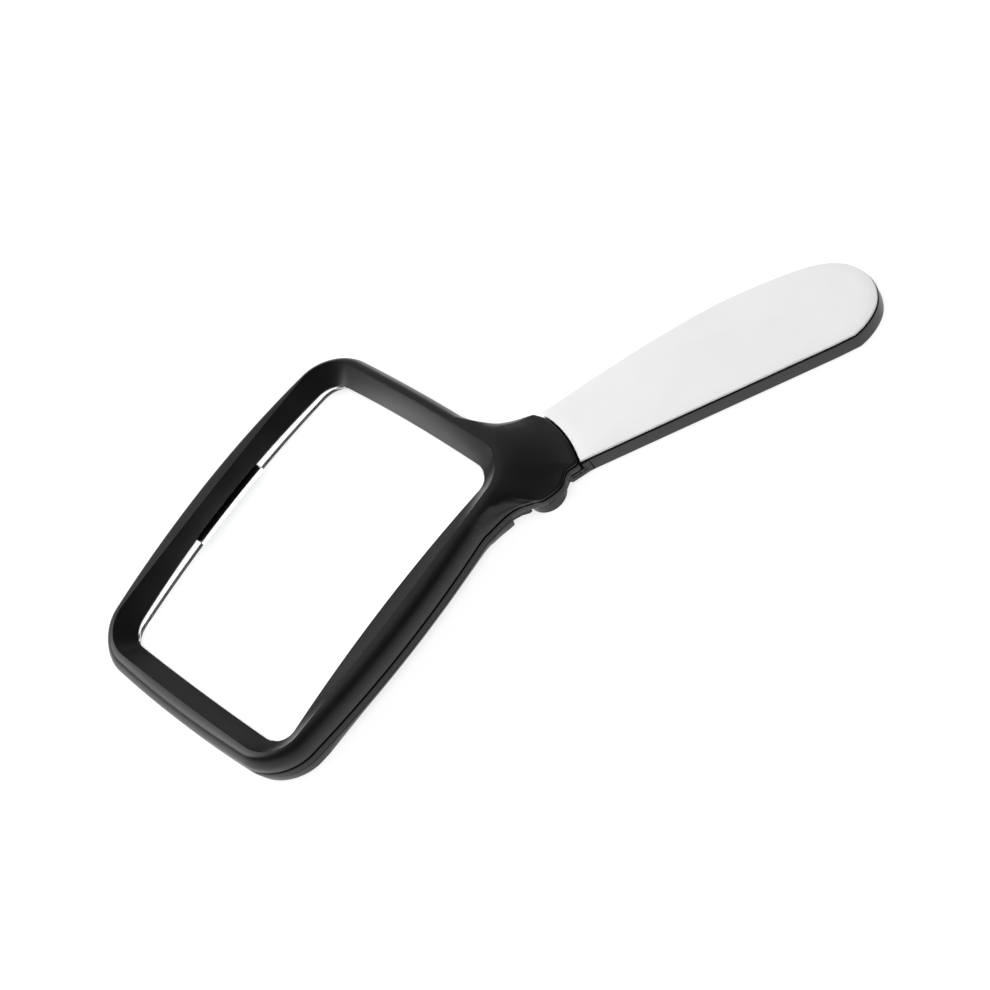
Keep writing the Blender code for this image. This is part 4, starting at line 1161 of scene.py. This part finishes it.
# %% Camera
CAMERA_ELEVATION = math.radians(52.45)
CAMERA_AZIMUTH = math.radians(-15.02)
CAMERA_ROLL = math.radians(40.5)
CAMERA_DISTANCE = 0.7073
CAMERA_TARGET = (45.75, -40.08, 7.0)
CAMERA_LENS = 87.8
SENSOR_WIDTH = 36.0
flat_reach = math.cos(CAMERA_ELEVATION)
back = Vector((math.sin(CAMERA_AZIMUTH) * flat_reach, -math.cos(CAMERA_AZIMUTH) * flat_reach,
               math.sin(CAMERA_ELEVATION)))
level_right = Vector((math.cos(CAMERA_AZIMUTH), math.sin(CAMERA_AZIMUTH), 0.0))
level_up = back.cross(level_right)
right = level_right * math.cos(CAMERA_ROLL) - level_up * math.sin(CAMERA_ROLL)
up = level_right * math.sin(CAMERA_ROLL) + level_up * math.cos(CAMERA_ROLL)
target = Vector(in_world(CAMERA_TARGET))
camera_data = bpy.data.cameras.new("camera")
camera_data.lens = CAMERA_LENS
camera_data.sensor_width = SENSOR_WIDTH
camera_data.clip_start = 0.01
camera = bpy.data.objects.new("camera", camera_data)
turn = Matrix((right, up, back)).transposed().to_4x4()
camera.matrix_world = Matrix.Translation(target + back * CAMERA_DISTANCE) @ turn
bpy.context.scene.collection.objects.link(camera)
bpy.context.scene.camera = camera
print("camera:", CAMERA_DISTANCE, "m from its target")

# %% [markdown]
# Plain studio light: a dark world that is pale at the horizon and on the far side, one broad lamp overhead
# that no gloss mirrors, and a smaller one beyond the far side, which draws the bright streak along the hub
# end of the bezel.

# %% Light
HORIZON_LIGHT = 0.50
FAR_LIGHT = 0.48
DARK_LIGHT = 0.07
HORIZON_TOP = 0.16
FAR_START = 0.26
FAR_FULL = 0.46
OVERHEAD_PLACE = (0.0, -0.3, 1.2)
OVERHEAD_SIZE = (1.0, 1.0)
OVERHEAD_POWER = 9.3
STREAK_PLACE = (-0.55, 0.66, 0.69)
STREAK_SIZE = (0.8, 0.6)
STREAK_POWER = 7.0


def area_lamp(name, place, size, power):
    """A rectangular lamp that faces the object."""
    data = bpy.data.lights.new(name, "AREA")
    data.shape = "RECTANGLE"
    data.size, data.size_y = size
    data.energy = power
    lamp = bpy.data.objects.new(name, data)
    lamp.location = place
    lamp.rotation_euler = (-Vector(place)).to_track_quat("-Z", "Y").to_euler()
    bpy.context.scene.collection.objects.link(lamp)
    return lamp


def spread_between(tree, source, start, end, strength):
    """Rises from nothing at one value of the source to a strength at another."""
    spread = tree.nodes.new("ShaderNodeMapRange")
    spread.inputs["From Min"].default_value = start
    spread.inputs["From Max"].default_value = end
    spread.inputs["To Max"].default_value = strength
    tree.links.new(source, spread.inputs["Value"])
    return spread.outputs["Result"]


def studio_world():
    """A dark room with a light horizon and a light far wall, so that black plastic keeps its shape."""
    world = bpy.data.worlds.new("studio")
    world.use_nodes = True
    tree = world.node_tree
    where = tree.nodes.new("ShaderNodeTexCoord")
    parts = tree.nodes.new("ShaderNodeSeparateXYZ")
    lighter = tree.nodes.new("ShaderNodeMath")
    lighter.operation = "MAXIMUM"
    total = tree.nodes.new("ShaderNodeMath")
    total.operation = "ADD"
    total.inputs[1].default_value = DARK_LIGHT
    tree.links.new(where.outputs["Generated"], parts.inputs["Vector"])
    far_wall = spread_between(tree, parts.outputs["Y"], FAR_START, FAR_FULL, FAR_LIGHT)
    horizon = spread_between(tree, parts.outputs["Z"], HORIZON_TOP, 0.0, HORIZON_LIGHT)
    tree.links.new(far_wall, lighter.inputs[0])
    tree.links.new(horizon, lighter.inputs[1])
    tree.links.new(lighter.outputs[0], total.inputs[0])
    tree.links.new(total.outputs[0], tree.nodes["Background"].inputs["Strength"])
    tree.nodes["Background"].inputs["Color"].default_value = (1.0, 1.0, 1.0, 1.0)
    return world


bpy.context.scene.world = studio_world()
overhead = area_lamp("overhead", OVERHEAD_PLACE, OVERHEAD_SIZE, OVERHEAD_POWER)
overhead.visible_glossy = False
area_lamp("streak", STREAK_PLACE, STREAK_SIZE, STREAK_POWER)
bpy.context.scene.view_settings.view_transform = "Standard"
print("lamps:", len(bpy.data.lights))

# %% [markdown]

# %% End
print("scene built")
